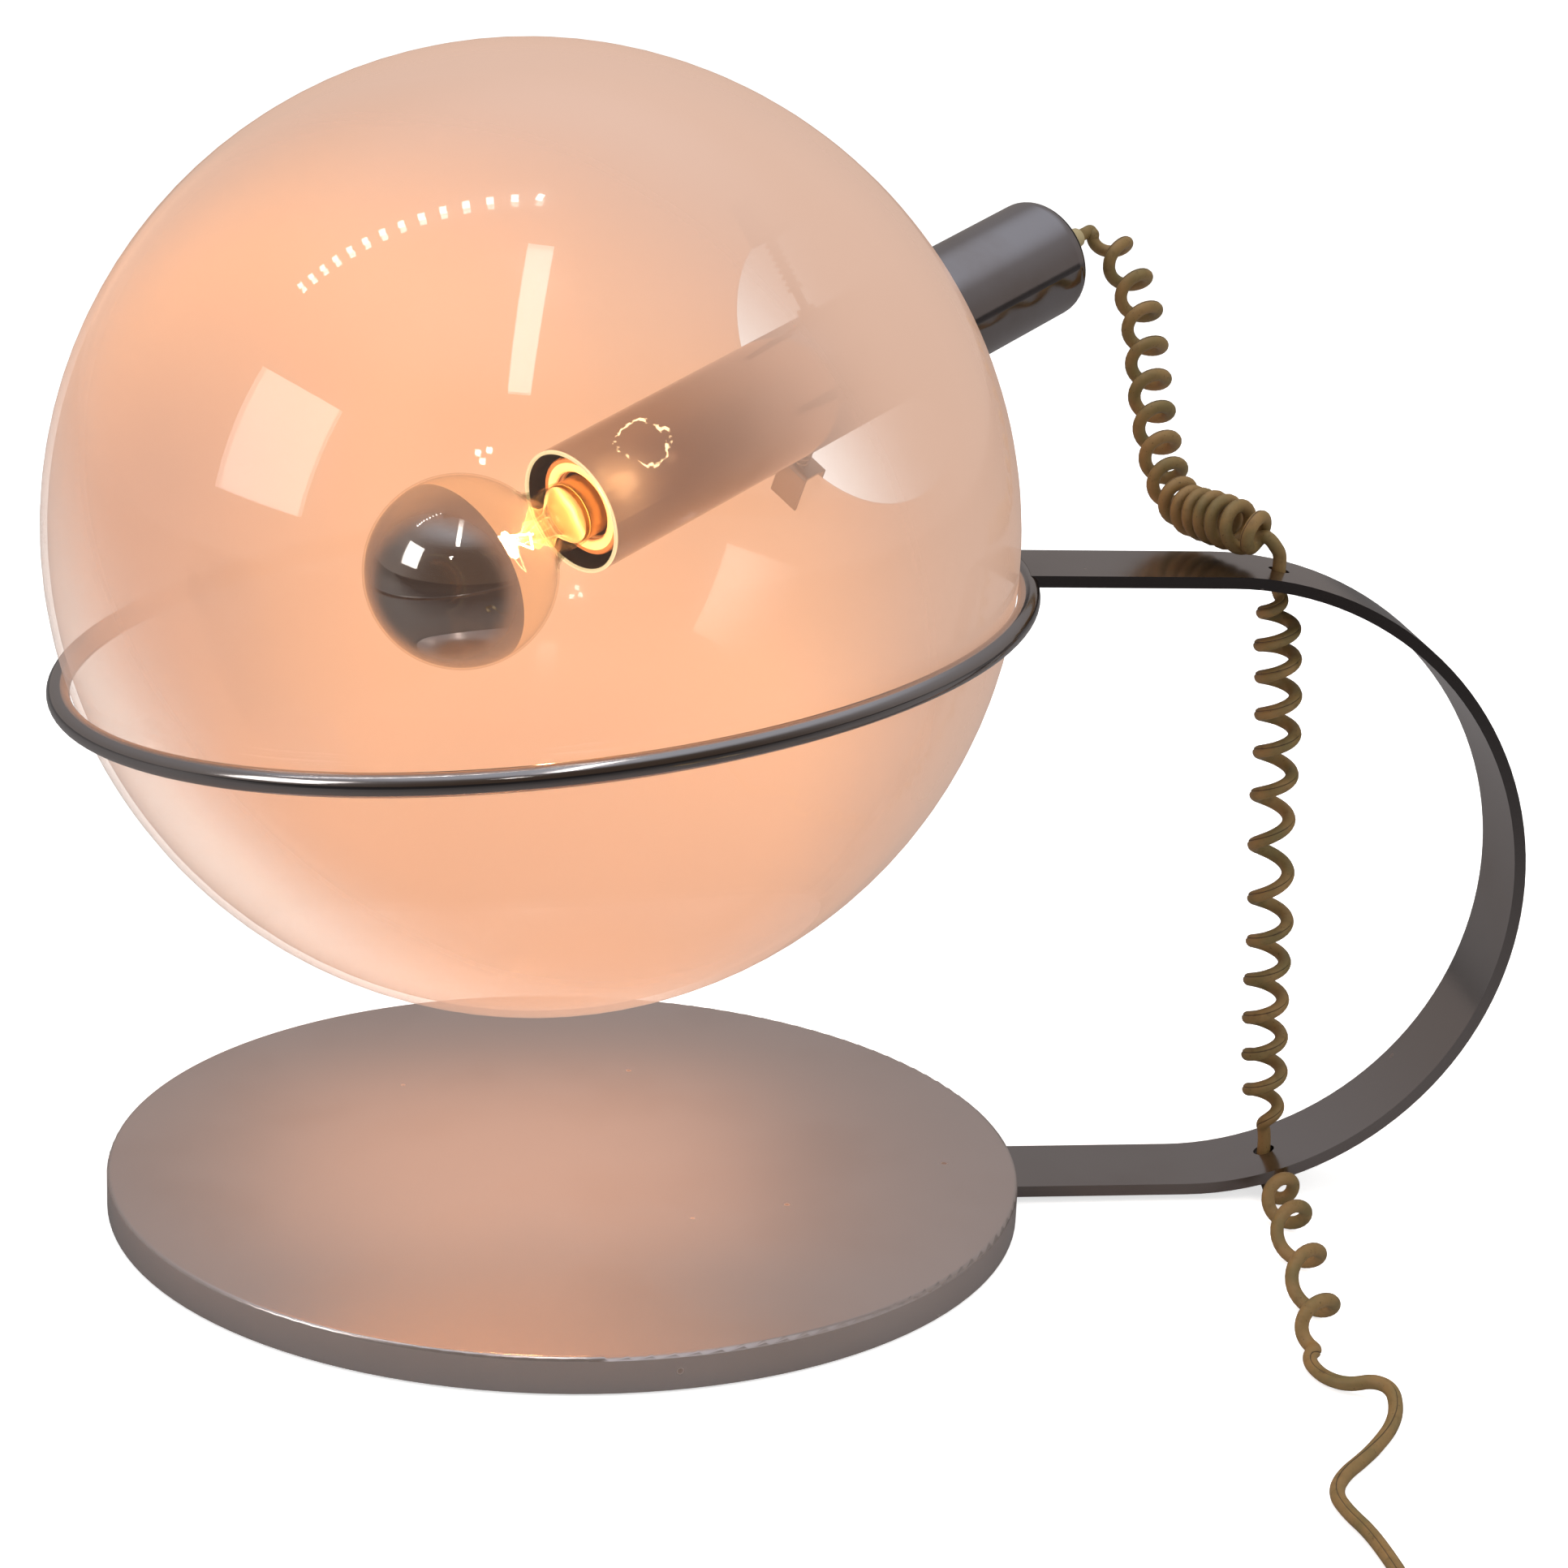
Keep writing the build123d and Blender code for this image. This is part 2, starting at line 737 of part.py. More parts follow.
upper_guide = [
    gland_mouth + light_way * (2 * cord_diameter),
    Vector(257.3, 203.0, 388.0),
    Vector(262.7, 187.2, 382.3),
    Vector(266.1, 169.4, 371.1),
    Vector(266.7, 151.7, 360.0),
    Vector(265.5, 133.9, 347.0),
    Vector(263.5, 116.1, 335.6),
    Vector(262.1, 98.3, 324.6),
    Vector(261.5, 80.6, 314.6),
    Vector(260.9, 62.8, 306.3),
    Vector(262.8, 49.0, 300.0),
    Vector(266.2, 38.0, 296.2),
    Vector(270.2, 29.0, 295.6),
    Vector(274.2, 20.0, 295.8),
    Vector(278.2, 11.0, 296.0),
    Vector(282.2, 2.0, 296.0),
    Vector(284.6, -3.5, 295.8),
]
upper_stops = [
    (gland_mouth, light_way),
    (gland_mouth + light_way * cord_diameter, light_way),
    *wound_stops(
        upper_guide, upper_turns, curl_radius, curl_phase, upper_first_turn, upper_last_turn
    ),
    (Vector(upper_hole_x, 0, strap_upper_bottom + cord_diameter), down),
    (Vector(upper_hole_x, 0, strap_upper_bottom), down),
]

middle_guide = [
    Vector(upper_hole_x, 0, strap_upper_bottom - cord_diameter),
    Vector(297.8, 0, 266.3),
    Vector(298.5, 0, 252.0),
    Vector(300.2, 0, 238.9),
    Vector(301.6, 0, 221.9),
    Vector(302.6, 0, 205.1),
    Vector(302.7, 0, 186.4),
    Vector(303.0, 0, 165.7),
    Vector(305.1, 0, 139.6),
    Vector(306.5, 0, 118.2),
    Vector(306.5, 0, 100.4),
    Vector(307.3, 0, 82.5),
    Vector(308.3, 0, 64.8),
    Vector(309.7, 0, 48.6),
    Vector(310.8, 0, 33.5),
    Vector(lower_hole_x, 0, strap_lower_top + 2 * cord_diameter),
]
lower_mouth = Vector(lower_hole_x, 0, strap_lower_top + cord_radius)
middle_stops = [
    (Vector(upper_hole_x, 0, strap_upper_bottom), down),
    (Vector(upper_hole_x, 0, strap_upper_bottom - cord_diameter), down),
    *wound_stops(
        middle_guide, middle_turns, curl_radius, curl_phase, middle_first_turn, middle_last_turn
    ),
    (lower_mouth - down * cord_diameter, down),
    (lower_mouth, down),
]

table_guide = [
    Vector(311.0, -28.0, curl_laid_z),
    Vector(311.6, -36.0, curl_laid_z),
    Vector(306.3, -67.6, curl_laid_z),
    Vector(301.2, -114.2, curl_laid_z),
    Vector(293.3, -161.9, curl_laid_z),
    Vector(289.0, -174.0, curl_laid_z),
]
tail_start = Vector(283.0, -179.0, laid_z)
table_stops = [
    (lower_mouth, down),
    (Vector(lower_hole_x, 0, laid_z + under_bend), down),
    (Vector(lower_hole_x, -under_bend, laid_z), towards),
    *wound_stops(table_guide, table_turns, curl_radius, curl_phase, 0, table_last_turn),
    (tail_start - towards * cord_diameter, towards),
    (tail_start, towards),
]



def hank_point(turn):
    """Point on the hank: it winds in, climbs a layer as it turns back, and winds out."""
    back = turn - hank_turns_in
    radius = hank_inner_radius + hank_pitch * abs(back)
    climb = hank_layer * min(max(2 * back + 0.5, 0), 1)
    angle = -2 * pi * turn
    return hank_middle + Vector(radius * cos(angle), radius * sin(angle), climb)


def hank_stop(turn):
    """Point on the hank with the direction that the cord has there."""
    before = hank_point(turn - guide_step)
    after = hank_point(turn + guide_step)
    return hank_point(turn), (after - before).normalized()


hank_middle = Vector(*hank_centre, laid_z)
hank_stops = [
    (switch_back, towards),
    (switch_back + towards * cord_diameter, towards),
    *[hank_stop(step / 4) for step in range(round(4 * (hank_turns_in + hank_turns_out)) + 1)],
    (plug_mouth + towards * cord_diameter, towards * -1),
    (plug_mouth, towards * -1),
]

for name, stops in (
    ("cord_upper", upper_stops),
    ("cord_middle", middle_stops),
    ("cord_table", table_stops),
    ("cord_hank", hank_stops),
):
    with BuildPart() as cord:
        with BuildLine() as cord_line:
            wind(stops)
        with BuildSketch(Plane(origin=cord_line.line @ 0, z_dir=cord_line.line % 0)):
            Circle(cord_radius)
        sweep()
    save(cord, name)
    report_wire(name, cord_line.wires()[0], cord_diameter)

bend_share = 0.45
tail_points = [
    tail_start,
    Vector(283.0, -190.0, laid_z),
    Vector(286.0, -201.5, laid_z),
    Vector(293.0, -209.5, laid_z + 1),
    Vector(302.0, -212.0, laid_z + 4),
    Vector(307.5, -219.5, laid_z + 4),
    Vector(306.0, -231.0, laid_z + 1),
    Vector(300.5, -243.0, laid_z),
    Vector(293.0, -254.5, laid_z),
    Vector(283.5, -267.0, laid_z),
    Vector(270.0, -281.5, laid_z),
    Vector(263.4, -295.0, laid_z),
    Vector(264.6, -309.0, laid_z),
    Vector(268.5, -324.0, laid_z),
    Vector(270.3, -345.0, laid_z),
    Vector(271.0, -366.0, laid_z),
    switch_front - towards * (2 * cord_diameter),
    switch_front,
]


def bend_radii(points):
    """Radius at each inner point: a share of the shorter run, over the tangent of half the turn."""
    radii = []
    for before, point, after in zip(points, points[1:], points[2:]):
        arriving = point - before
        leaving = after - point
        half_turn = radians(arriving.get_angle(leaving) / 2)
        radii.append(bend_share * min(arriving.length, leaving.length) / tan(half_turn))
    return radii


tail_radii = bend_radii(tail_points)
with BuildPart() as cord_tail:
    with BuildLine() as tail_line:
        FilletPolyline(*tail_points, radius=tail_radii)
    with BuildSketch(Plane(origin=tail_line.line @ 0, z_dir=tail_line.line % 0)):
        Circle(cord_radius)
    sweep()
save(cord_tail, "cord_tail")
tail_length = tail_line.wires()[0].length
print(f"cord_tail: length {tail_length:.0f}, radii {[round(radius, 1) for radius in tail_radii]}")
print(f"cord_tail: volume over section {cord_tail.part.volume / (pi * cord_radius**2 * tail_length):.4f}")

# Switch

switch_plane = Plane(origin=(*switch_centre, 0))
with BuildPart() as switch_base:
    with BuildSketch(switch_plane):
        RectangleRounded(switch_width, switch_length, switch_corner)
    extrude(amount=switch_split)
    fillet(switch_base.edges().group_by(Axis.Z)[0], switch_edge)
    with BuildSketch(switch_plane.offset(switch_wall)):
        RectangleRounded(
            switch_width - 2 * switch_wall, switch_length - 2 * switch_end_wall, switch_corner - switch_wall
        )
    extrude(amount=switch_split - switch_wall, mode=Mode.SUBTRACT)
save(switch_base, "switch_base")

with BuildPart() as switch_cover:
    with BuildSketch(switch_plane.offset(switch_split)):
        RectangleRounded(switch_width, switch_length, switch_corner)
    extrude(amount=switch_height - switch_split)
    fillet(switch_cover.edges().group_by(Axis.Z)[-1], switch_edge)
    with BuildSketch(switch_plane.offset(switch_split)):
        RectangleRounded(
            switch_width - 2 * switch_wall, switch_length - 2 * switch_end_wall, switch_corner - switch_wall
        )
    extrude(amount=switch_height - switch_split - switch_wall, mode=Mode.SUBTRACT)
    with BuildSketch(switch_plane.offset(switch_split)):
        Rectangle(rocker_width + 2 * rocker_play, rocker_length + 2 * rocker_play)
    extrude(amount=switch_height - switch_split, mode=Mode.SUBTRACT)
save(switch_cover, "switch_cover")

rocker_plane = Plane(
    origin=(*switch_centre, rocker_pivot_z),
    x_dir=(0, cos(radians(rocker_tilt)), sin(radians(rocker_tilt))),
    z_dir=(-1, 0, 0),
)
with BuildPart() as switch_rocker:
    with BuildSketch(rocker_plane) as rocker_side:
        with BuildLine():
            Polyline(
                (-rocker_length / 2, rocker_rise),
                (-rocker_length / 2, 0),
                (-rocker_length / 4, -rocker_dip),
                (rocker_length / 4, -rocker_dip),
                (rocker_length / 2, 0),
                (rocker_length / 2, rocker_rise),
                (0, rocker_dip),
                close=True,
            )
        make_face()
    extrude(amount=rocker_width / 2, both=True)
save(switch_rocker, "switch_rocker")

# Plug

plug_way = Plane(origin=plug_mouth, x_dir=(-1, 0, 0), z_dir=(0, 1, 0))
with BuildPart() as plug_sleeve:
    with BuildSketch(plug_way):
        Circle(cord_radius + plug_sleeve_wall)
    with BuildSketch(plug_way.offset(plug_sleeve_length)):
        Circle(plug_sleeve_radius)
    loft()
save(plug_sleeve, "plug_sleeve")

with BuildPart() as plug_body:
    with BuildSketch(plug_way.offset(plug_sleeve_length)):
        RectangleRounded(plug_back_width, plug_back_thickness, plug_back_corner)
    with BuildSketch(plug_way.offset(plug_sleeve_length + plug_body_length)):
        RectangleRounded(plug_front_width, plug_thickness, plug_corner)
    loft()
save(plug_body, "plug_body")

with BuildPart() as plug_pins:
    with BuildSketch(plug_way.offset(plug_sleeve_length + plug_body_length)):
        with GridLocations(plug_pin_pitch, 0, 2, 1):
            Circle(plug_pin_radius)
    extrude(amount=plug_pin_length)
    fillet(plug_pins.edges().group_by(Axis.Y)[-1], plug_pin_radius / 2)
save(plug_pins, "plug_pins")
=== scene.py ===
import logging
from dataclasses import dataclass, field
from enum import Enum
from math import cos, pi, radians, sin

import bpy
import numpy as np
from mathutils import Matrix, Vector


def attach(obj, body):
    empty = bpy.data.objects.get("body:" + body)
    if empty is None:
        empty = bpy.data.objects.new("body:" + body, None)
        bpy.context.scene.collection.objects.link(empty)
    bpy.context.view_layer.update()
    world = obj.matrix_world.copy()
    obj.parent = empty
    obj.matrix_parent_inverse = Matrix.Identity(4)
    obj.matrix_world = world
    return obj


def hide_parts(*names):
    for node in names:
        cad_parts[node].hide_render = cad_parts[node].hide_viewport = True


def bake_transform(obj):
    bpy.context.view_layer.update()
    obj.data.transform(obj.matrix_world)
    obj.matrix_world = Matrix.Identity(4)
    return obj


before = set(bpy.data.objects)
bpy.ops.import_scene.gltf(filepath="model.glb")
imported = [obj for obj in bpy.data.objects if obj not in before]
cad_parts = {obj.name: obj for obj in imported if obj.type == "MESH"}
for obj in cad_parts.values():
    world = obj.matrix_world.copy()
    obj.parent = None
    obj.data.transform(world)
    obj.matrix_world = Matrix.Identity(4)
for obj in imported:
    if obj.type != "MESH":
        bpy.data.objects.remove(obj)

log = logging.getLogger("globe_lamp")
MM = 0.001
Colour = tuple[float, float, float]

GLOBE_CENTRE = np.array((-19.2164, 0.0, 294.9068)) * MM
LIGHT_WAY = np.array((0.765419, 0.583093, 0.272280))
FROST_WAY = np.array((0.52, 0.82, 0.24))


# Shader maths


class Wire:
    """The output of a node. Arithmetic on it adds Math nodes to its paint."""

    def __init__(self, paint: "Paint", socket: bpy.types.NodeSocket) -> None:
        """Keep the paint and the output socket."""
        self.paint = paint
        self.socket = socket

    def maths(self, operation: str, *others: "Wire | float") -> "Wire":
        """Add one Math node.

        Args:
            operation: the Math node's operation.
            others: the other values, after this one.

        Returns:
            The node's output.
        """
        values = dict(enumerate((self, *others)))
        return self.paint.node("ShaderNodeMath", {"operation": operation}, values)

    def __add__(self, other: "Wire | float") -> "Wire":
        """This plus a value."""
        return self.maths("ADD", other)

    __radd__ = __add__

    def __mul__(self, other: "Wire | float") -> "Wire":
        """This times a value."""
        return self.maths("MULTIPLY", other)

    __rmul__ = __mul__

    def __sub__(self, other: "Wire | float") -> "Wire":
        """This less a value."""
        return self.maths("SUBTRACT", other)

    def __rsub__(self, other: float) -> "Wire":
        """A value less this."""
        return self.paint.node("ShaderNodeMath", {"operation": "SUBTRACT"}, {0: other, 1: self})

    def __truediv__(self, other: "Wire | float") -> "Wire":
        """This over a value."""
        return self.maths("DIVIDE", other)

    def __pow__(self, other: "Wire | float") -> "Wire":
        """This to a power."""
        return self.maths("POWER", other)

    def bounded(self, low: float = 0.0, high: float = 1.0) -> "Wire":
        """This, kept between two values."""
        return self.maths("MAXIMUM", low).maths("MINIMUM", high)

    def ramp(self, low: float, high: float, start: float = 0.0, end: float = 1.0) -> "Wire":
        """A smooth step.

        Args:
            low: the value at which the step starts.
            high: the value at which it ends.
            start: what it gives before the step.
            end: what it gives after it.

        Returns:
            The step's output.
        """
        settings = {"interpolation_type": "SMOOTHSTEP"}
        sockets = {"Value": self, "From Min": low, "From Max": high, "To Min": start, "To Max": end}
        return self.paint.node("ShaderNodeMapRange", settings, sockets)


class Paint:
    """A material or world in the making, with one method for every kind of node."""

    def __init__(self, owner: "bpy.types.Material | bpy.types.World") -> None:
        """Start with an empty node tree."""
        owner.use_nodes = True
        self.owner = owner
        self.tree = owner.node_tree
        self.tree.nodes.clear()

    def node(
        self,
        kind: str,
        settings: dict[str, object] | None = None,
        sockets: dict[str | int, object] | None = None,
        output: str | int = 0,
    ) -> Wire:
        """Add a node.

        Args:
            kind: the node's type.
            settings: its settings, set before its sockets.
            sockets: values or wires for its inputs, by name or number.
            output: the output to return.

        Returns:
            A wire on that output.
        """
        node = self.tree.nodes.new(kind)
        for name, value in (settings or {}).items():
            setattr(node, name, value)
        for name, value in (sockets or {}).items():
            if isinstance(value, Wire):
                self.tree.links.new(value.socket, node.inputs[name])
            else:
                node.inputs[name].default_value = value
        return Wire(self, node.outputs[output])

    def mix(self, share: "Wire | float", first: "Wire | Colour", second: "Wire | Colour") -> Wire:
        """Mix two colours.

        Args:
            share: how much of the second colour.
            first: the first colour.
            second: the second colour.

        Returns:
            The mixed colour.
        """
        first, second = (c if isinstance(c, Wire) else (*c, 1.0) for c in (first, second))
        return self.node("ShaderNodeMix", {"data_type": "RGBA"}, {0: share, 6: first, 7: second}, 2)

    def noise(self, scale: float, detail: float = 3.0, place: Wire | None = None) -> Wire:
        """Noise of 0 to 1 with this many waves in a metre."""
        sockets = {"Scale": scale, "Detail": detail}
        return self.node("ShaderNodeTexNoise", None, {"Vector": place or self.place(), **sockets})

    def place(self) -> Wire:
        """The point's place in the object's own frame."""
        return self.node("ShaderNodeTexCoord", None, None, "Object")

    def axis(self, name: str, place: Wire | None = None) -> Wire:
        """One coordinate of the point's place."""
        return self.node("ShaderNodeSeparateXYZ", None, {0: place or self.place()}, name)

    def along(self, start: np.ndarray, way: np.ndarray) -> Wire:
        """How far the point is from a place along a direction, (point - start) . way."""
        kind = "ShaderNodeVectorMath"
        moved = self.node(kind, {"operation": "SUBTRACT"}, {0: self.place(), 1: tuple(start)})
        return self.node(kind, {"operation": "DOT_PRODUCT"}, {0: moved, 1: tuple(way)}, "Value")

    def distance(self, start: np.ndarray) -> Wire:
        """How far the point is from a place."""
        sockets = {0: self.place(), 1: tuple(start)}
        return self.node("ShaderNodeVectorMath", {"operation": "DISTANCE"}, sockets, "Value")

    def off_axis(self) -> Wire:
        """How far the point is from the lamp tube's axis.

        d^2 = |point - centre|^2 - ((point - centre) . way)^2.
        """
        straight = self.distance(GLOBE_CENTRE)
        ahead = self.along(GLOBE_CENTRE, LIGHT_WAY)
        return (straight * straight - ahead * ahead).maths("MAXIMUM", 0.0) ** 0.5

    def bump(self, height: Wire, depth: float, strength: float = 1.0) -> Wire:
        """A bump of this depth in metres from a height of 0 to 1."""
        sockets = {"Strength": strength, "Distance": depth, "Height": height}
        return self.node("ShaderNodeBump", None, sockets, "Normal")

    def gloss(self, straight: float, grazing: float) -> Wire:
        """How much a thin wall shines from either side: it grows with the fifth power of the tilt."""
        facing = self.node("ShaderNodeLayerWeight", None, {"Blend": 0.5}, "Facing")
        return facing**5.0 * (grazing - straight) + straight

    def principled(self, **sockets: object) -> Wire:
        """A Principled shader. Underscores in the sockets' names stand for spaces."""
        values = {
            name.replace("_", " "): (*value, 1.0) if isinstance(value, tuple) else value
            for name, value in sockets.items()
        }
        return self.node("ShaderNodeBsdfPrincipled", None, values)

    def finish(self, surface: Wire) -> "bpy.types.Material | bpy.types.World":
        """Join the surface to the output and return the owner."""
        in_world = isinstance(self.owner, bpy.types.World)
        end = self.tree.nodes.new("ShaderNodeOutputWorld" if in_world else "ShaderNodeOutputMaterial")
        self.tree.links.new(surface.socket, end.inputs["Surface"])
        return self.owner


def new_paint(name: str) -> Paint:
    """Start a material of this name."""
    return Paint(bpy.data.materials.new(name))


# Finishes


@dataclass(frozen=True)
class Chrome:
    """Chrome plate that has aged: a soft haze, fine wipes and a few brown specks."""

    name: str
    tint: Colour = (0.40, 0.365, 0.35)
    stain: Colour = (0.30, 0.24, 0.21)
    rough: float = 0.10
    haze: float = 0.10
    mottle: float = 0.25
    specks: float = 0.0
    metal: float = 1.0

    def make(self) -> bpy.types.Material:
        """Build the material."""
        paint = new_paint(self.name)
        cloud = paint.noise(14.0, 4.0)
        patch = (cloud.ramp(0.45, 0.75) * self.mottle).bounded()
        colour = paint.mix(patch, self.tint, self.stain)
        wipes = paint.noise(420.0, 2.0)
        rough = cloud * self.haze + wipes * 0.03 + self.rough
        metal = self.metal
        if self.specks:
            scatter = {"Vector": paint.place(), "Scale": 34.0, "Randomness": 1.0}
            cells = paint.node("ShaderNodeTexVoronoi", None, scatter, "Distance")
            rare = paint.noise(9.0, 1.0).ramp(0.52, 0.56)
            spot = (cells.ramp(0.03, 0.06, 1.0, 0.0) * rare * self.specks).bounded()
            colour = paint.mix(spot, colour, (0.13, 0.06, 0.03))
            rough = rough + spot * 0.5
            metal = (1.0 - spot) * self.metal
        normal = paint.bump(wipes, 0.00002, 0.4)
        sockets = {"Base_Color": colour, "Metallic": metal, "Roughness": rough, "Normal": normal}
        return paint.finish(paint.principled(**sockets))


@dataclass(frozen=True)
class Metal:
    """A plain worked metal with grain."""

    name: str
    tint: Colour
    rough: float = 0.35
    grain: float = 500.0
    depth: float = 0.00005

    def make(self) -> bpy.types.Material:
        """Build the material."""
        paint = new_paint(self.name)
        grain = paint.noise(self.grain, 3.0)
        dark = tuple(0.6 * c for c in self.tint)
        colour = paint.mix(paint.noise(60.0).ramp(0.4, 0.75) * 0.5, self.tint, dark)
        rough = grain * 0.2 + self.rough
        normal = paint.bump(grain, self.depth, 0.5)
        return paint.finish(paint.principled(Base_Color=colour, Metallic=1.0, Roughness=rough, Normal=normal))


@dataclass(frozen=True)
class Matter:
    """A material that isn't metal: plastic, ceramic, felt or iron under paint."""

    name: str
    tint: Colour
    shade: Colour
    rough: float = 0.45
    grain: float = 300.0
    depth: float = 0.00004
    coat: float = 0.0

    def make(self) -> bpy.types.Material:
        """Build the material."""
        paint = new_paint(self.name)
        grain = paint.noise(self.grain, 4.0)
        colour = paint.mix(paint.noise(45.0, 3.0).ramp(0.35, 0.8), self.tint, self.shade)
        rough = grain * 0.15 + self.rough
        normal = paint.bump(grain, self.depth, 0.6)
        sockets = {"Base_Color": colour, "Roughness": rough, "Normal": normal, "Coat_Weight": self.coat}
        return paint.finish(paint.principled(**sockets))


@dataclass(frozen=True)
class TubeChrome:
    """The lamp tube: grey chrome with painted shade in its bore, and a painted glow of the bulb's light on its
    lip and in a curl beside it.
    """

    name: str = "tube_paint"
    tint: Colour = (0.40, 0.37, 0.37)
    stain: Colour = (0.27, 0.21, 0.17)
    bore: float = 0.0263
    mouth: float = 0.0206
    curl_place: tuple[float, float, float] = (0.0260, 0.0140, 0.3305)
    curl_radius: float = 0.0120

    def make(self) -> bpy.types.Material:
        """Build the material.

        The bore, darkened with painted shade, is where the point is nearer the axis than the wall. The curl of
        painted light is where the distance from its place, swayed by noise, comes near its radius.
        """
        paint = new_paint(self.name)
        cloud = paint.noise(16.0, 4.0)
        wipes = paint.noise(420.0, 2.0)
        within = paint.off_axis().ramp(self.bore, self.bore + 0.0005, 1.0, 0.0)
        ahead = paint.along(GLOBE_CENTRE, LIGHT_WAY)
        lip = ahead.ramp(self.mouth, self.mouth + 0.0006, 1.0, 0.0)
        colour = paint.mix(cloud.ramp(0.45, 0.7) * 0.5, self.tint, self.stain)
        # Painted shade: the bore is coloured almost black.
        colour = paint.mix(within, colour, (0.012, 0.010, 0.009))
        # Painted light: a glowing curl beside the mouth and a glowing lip, as if lit by the bulb, go into the
        # emission.
        sway = (paint.noise(130.0, 3.0) - 0.5) * 0.011
        curl = (paint.distance(np.array(self.curl_place)) + sway - self.curl_radius).maths("ABSOLUTE")
        broken = paint.noise(210.0, 2.0).ramp(0.42, 0.58)
        lit = curl.ramp(0.0002, 0.0011, 1.0, 0.0) * broken * (1.0 - within) * 2.2
        bright = (lit + lip * 1.1).bounded(0.0, 2.2)
        light = paint.mix(bright * 0.45, (0.0, 0.0, 0.0), (1.0, 0.78, 0.42))
        rough = cloud * 0.1 + wipes * 0.03 + within * 0.4 + 0.07
        normal = paint.bump(wipes, 0.00002, 0.4)
        return paint.finish(
            paint.principled(
                Base_Color=colour, Metallic=1.0, Roughness=rough, Normal=normal, Emission_Color=light,
                Emission_Strength=2.0,
            )
        )


@dataclass(frozen=True)
class Ceramic:
    """The lampholder's body with turned rings, painted orange as if lit from inside, with a painted glow of the
    bulb's light.
    """

    name: str = "holder_paint"
    light_ring: Colour = (0.90, 0.56, 0.34)
    dark_ring: Colour = (0.50, 0.20, 0.09)
    ring_pitch: float = 0.0030
    front_ring: float = 0.0193

    def make(self) -> bpy.types.Material:
        """Build the material: the rings are a sine of the distance along the tube's axis."""
        paint = new_paint(self.name)
        ahead = paint.along(GLOBE_CENTRE, LIGHT_WAY)
        ring = (ahead * (2 * pi / self.ring_pitch)).maths("SINE") * 0.5 + 0.5
        cloud = paint.noise(70.0, 3.0)
        colour = paint.mix((ring * 0.7 + cloud * 0.3).bounded(), self.light_ring, self.dark_ring)
        front = paint.off_axis().ramp(self.front_ring, self.front_ring + 0.0006)
        colour = paint.mix(front * 0.9, colour, (0.16, 0.06, 0.025))
        # Painted light: the glow is brighter on alternate rings and faint outside the front ring.
        glow = paint.mix(ring, (0.62, 0.24, 0.08), (0.22, 0.06, 0.015))
        glow = paint.mix(front, glow, (0.05, 0.015, 0.004))
        rough = cloud * 0.15 + 0.3
        normal = paint.bump(ring, 0.0004, 0.6)
        sockets = {"Base_Color": colour, "Roughness": rough, "Normal": normal}
        return paint.finish(paint.principled(**sockets, Emission_Color=glow, Emission_Strength=1.0))


@dataclass(frozen=True)
class OpalShell:
    """A globe clear round its mouth that turns milky towards the lamp tube, with a painted glow of its lamp's
    light.
    """

    name: str = "globe_shell_paint"
    radius: float = 0.2
    clear_below: float = -0.6
    milky_above: float = 0.0
    veil: float = 0.03
    cover: float = 0.88

    def make(self) -> bpy.types.Material:
        """Build the material.

        With t = (point - centre) . frost way / radius, the share of milk is a smooth step from
        the clear end to the milky one. The painted glow is brightest on the far wall, which the lamp shines on,
        and dimmer on the left and low down.
        """
        paint = new_paint(self.name)
        cloud = paint.noise(5.0, 2.0)
        t = paint.along(GLOBE_CENTRE, FROST_WAY) / self.radius + (cloud - 0.5) * 0.12
        milk = t.ramp(self.clear_below, self.milky_above, self.veil, self.cover)
        edge = paint.node("ShaderNodeLayerWeight", None, {"Blend": 0.5}, "Facing")
        cover = (milk + (edge**3.0) * 0.4).bounded(0.0, 0.97)
        # Painted light and shade: the glow's colour, brightest on the far wall, dimmed on the left and low
        # down.
        far = paint.axis("Y").ramp(-0.05, 0.11)
        high = paint.axis("Z")
        left = paint.axis("X").ramp(-0.20, -0.06, 1.0, 0.0) * high.ramp(0.28, 0.42, 1.0, 0.0)
        low = high.ramp(0.11, 0.21, 1.0, 0.0)
        body = (0.30, 0.205, 0.165)
        light = paint.mix(far, (0.46, 0.29, 0.21), (0.80, 0.445, 0.265))
        light = paint.mix((left * 0.85).bounded(), light, (0.32, 0.24, 0.21))
        light = paint.mix(low * 0.6, light, (0.44, 0.27, 0.19))
        opal = paint.principled(
            Base_Color=body, Roughness=0.15, Emission_Color=light, Emission_Strength=1.0, IOR=1.49
        )
        clear = paint.node("ShaderNodeBsdfTransparent", None, {"Color": (1.0, 0.985, 0.97, 1.0)})
        shell = paint.node("ShaderNodeMixShader", None, {0: cover, 1: clear, 2: opal})
        shine = paint.node("ShaderNodeBsdfGlossy", None, {"Color": (1.0, 1.0, 1.0, 1.0), "Roughness": 0.02})
        surface = {0: paint.gloss(0.035, 0.35), 1: shell, 2: shine}
        return paint.finish(paint.node("ShaderNodeMixShader", None, surface))


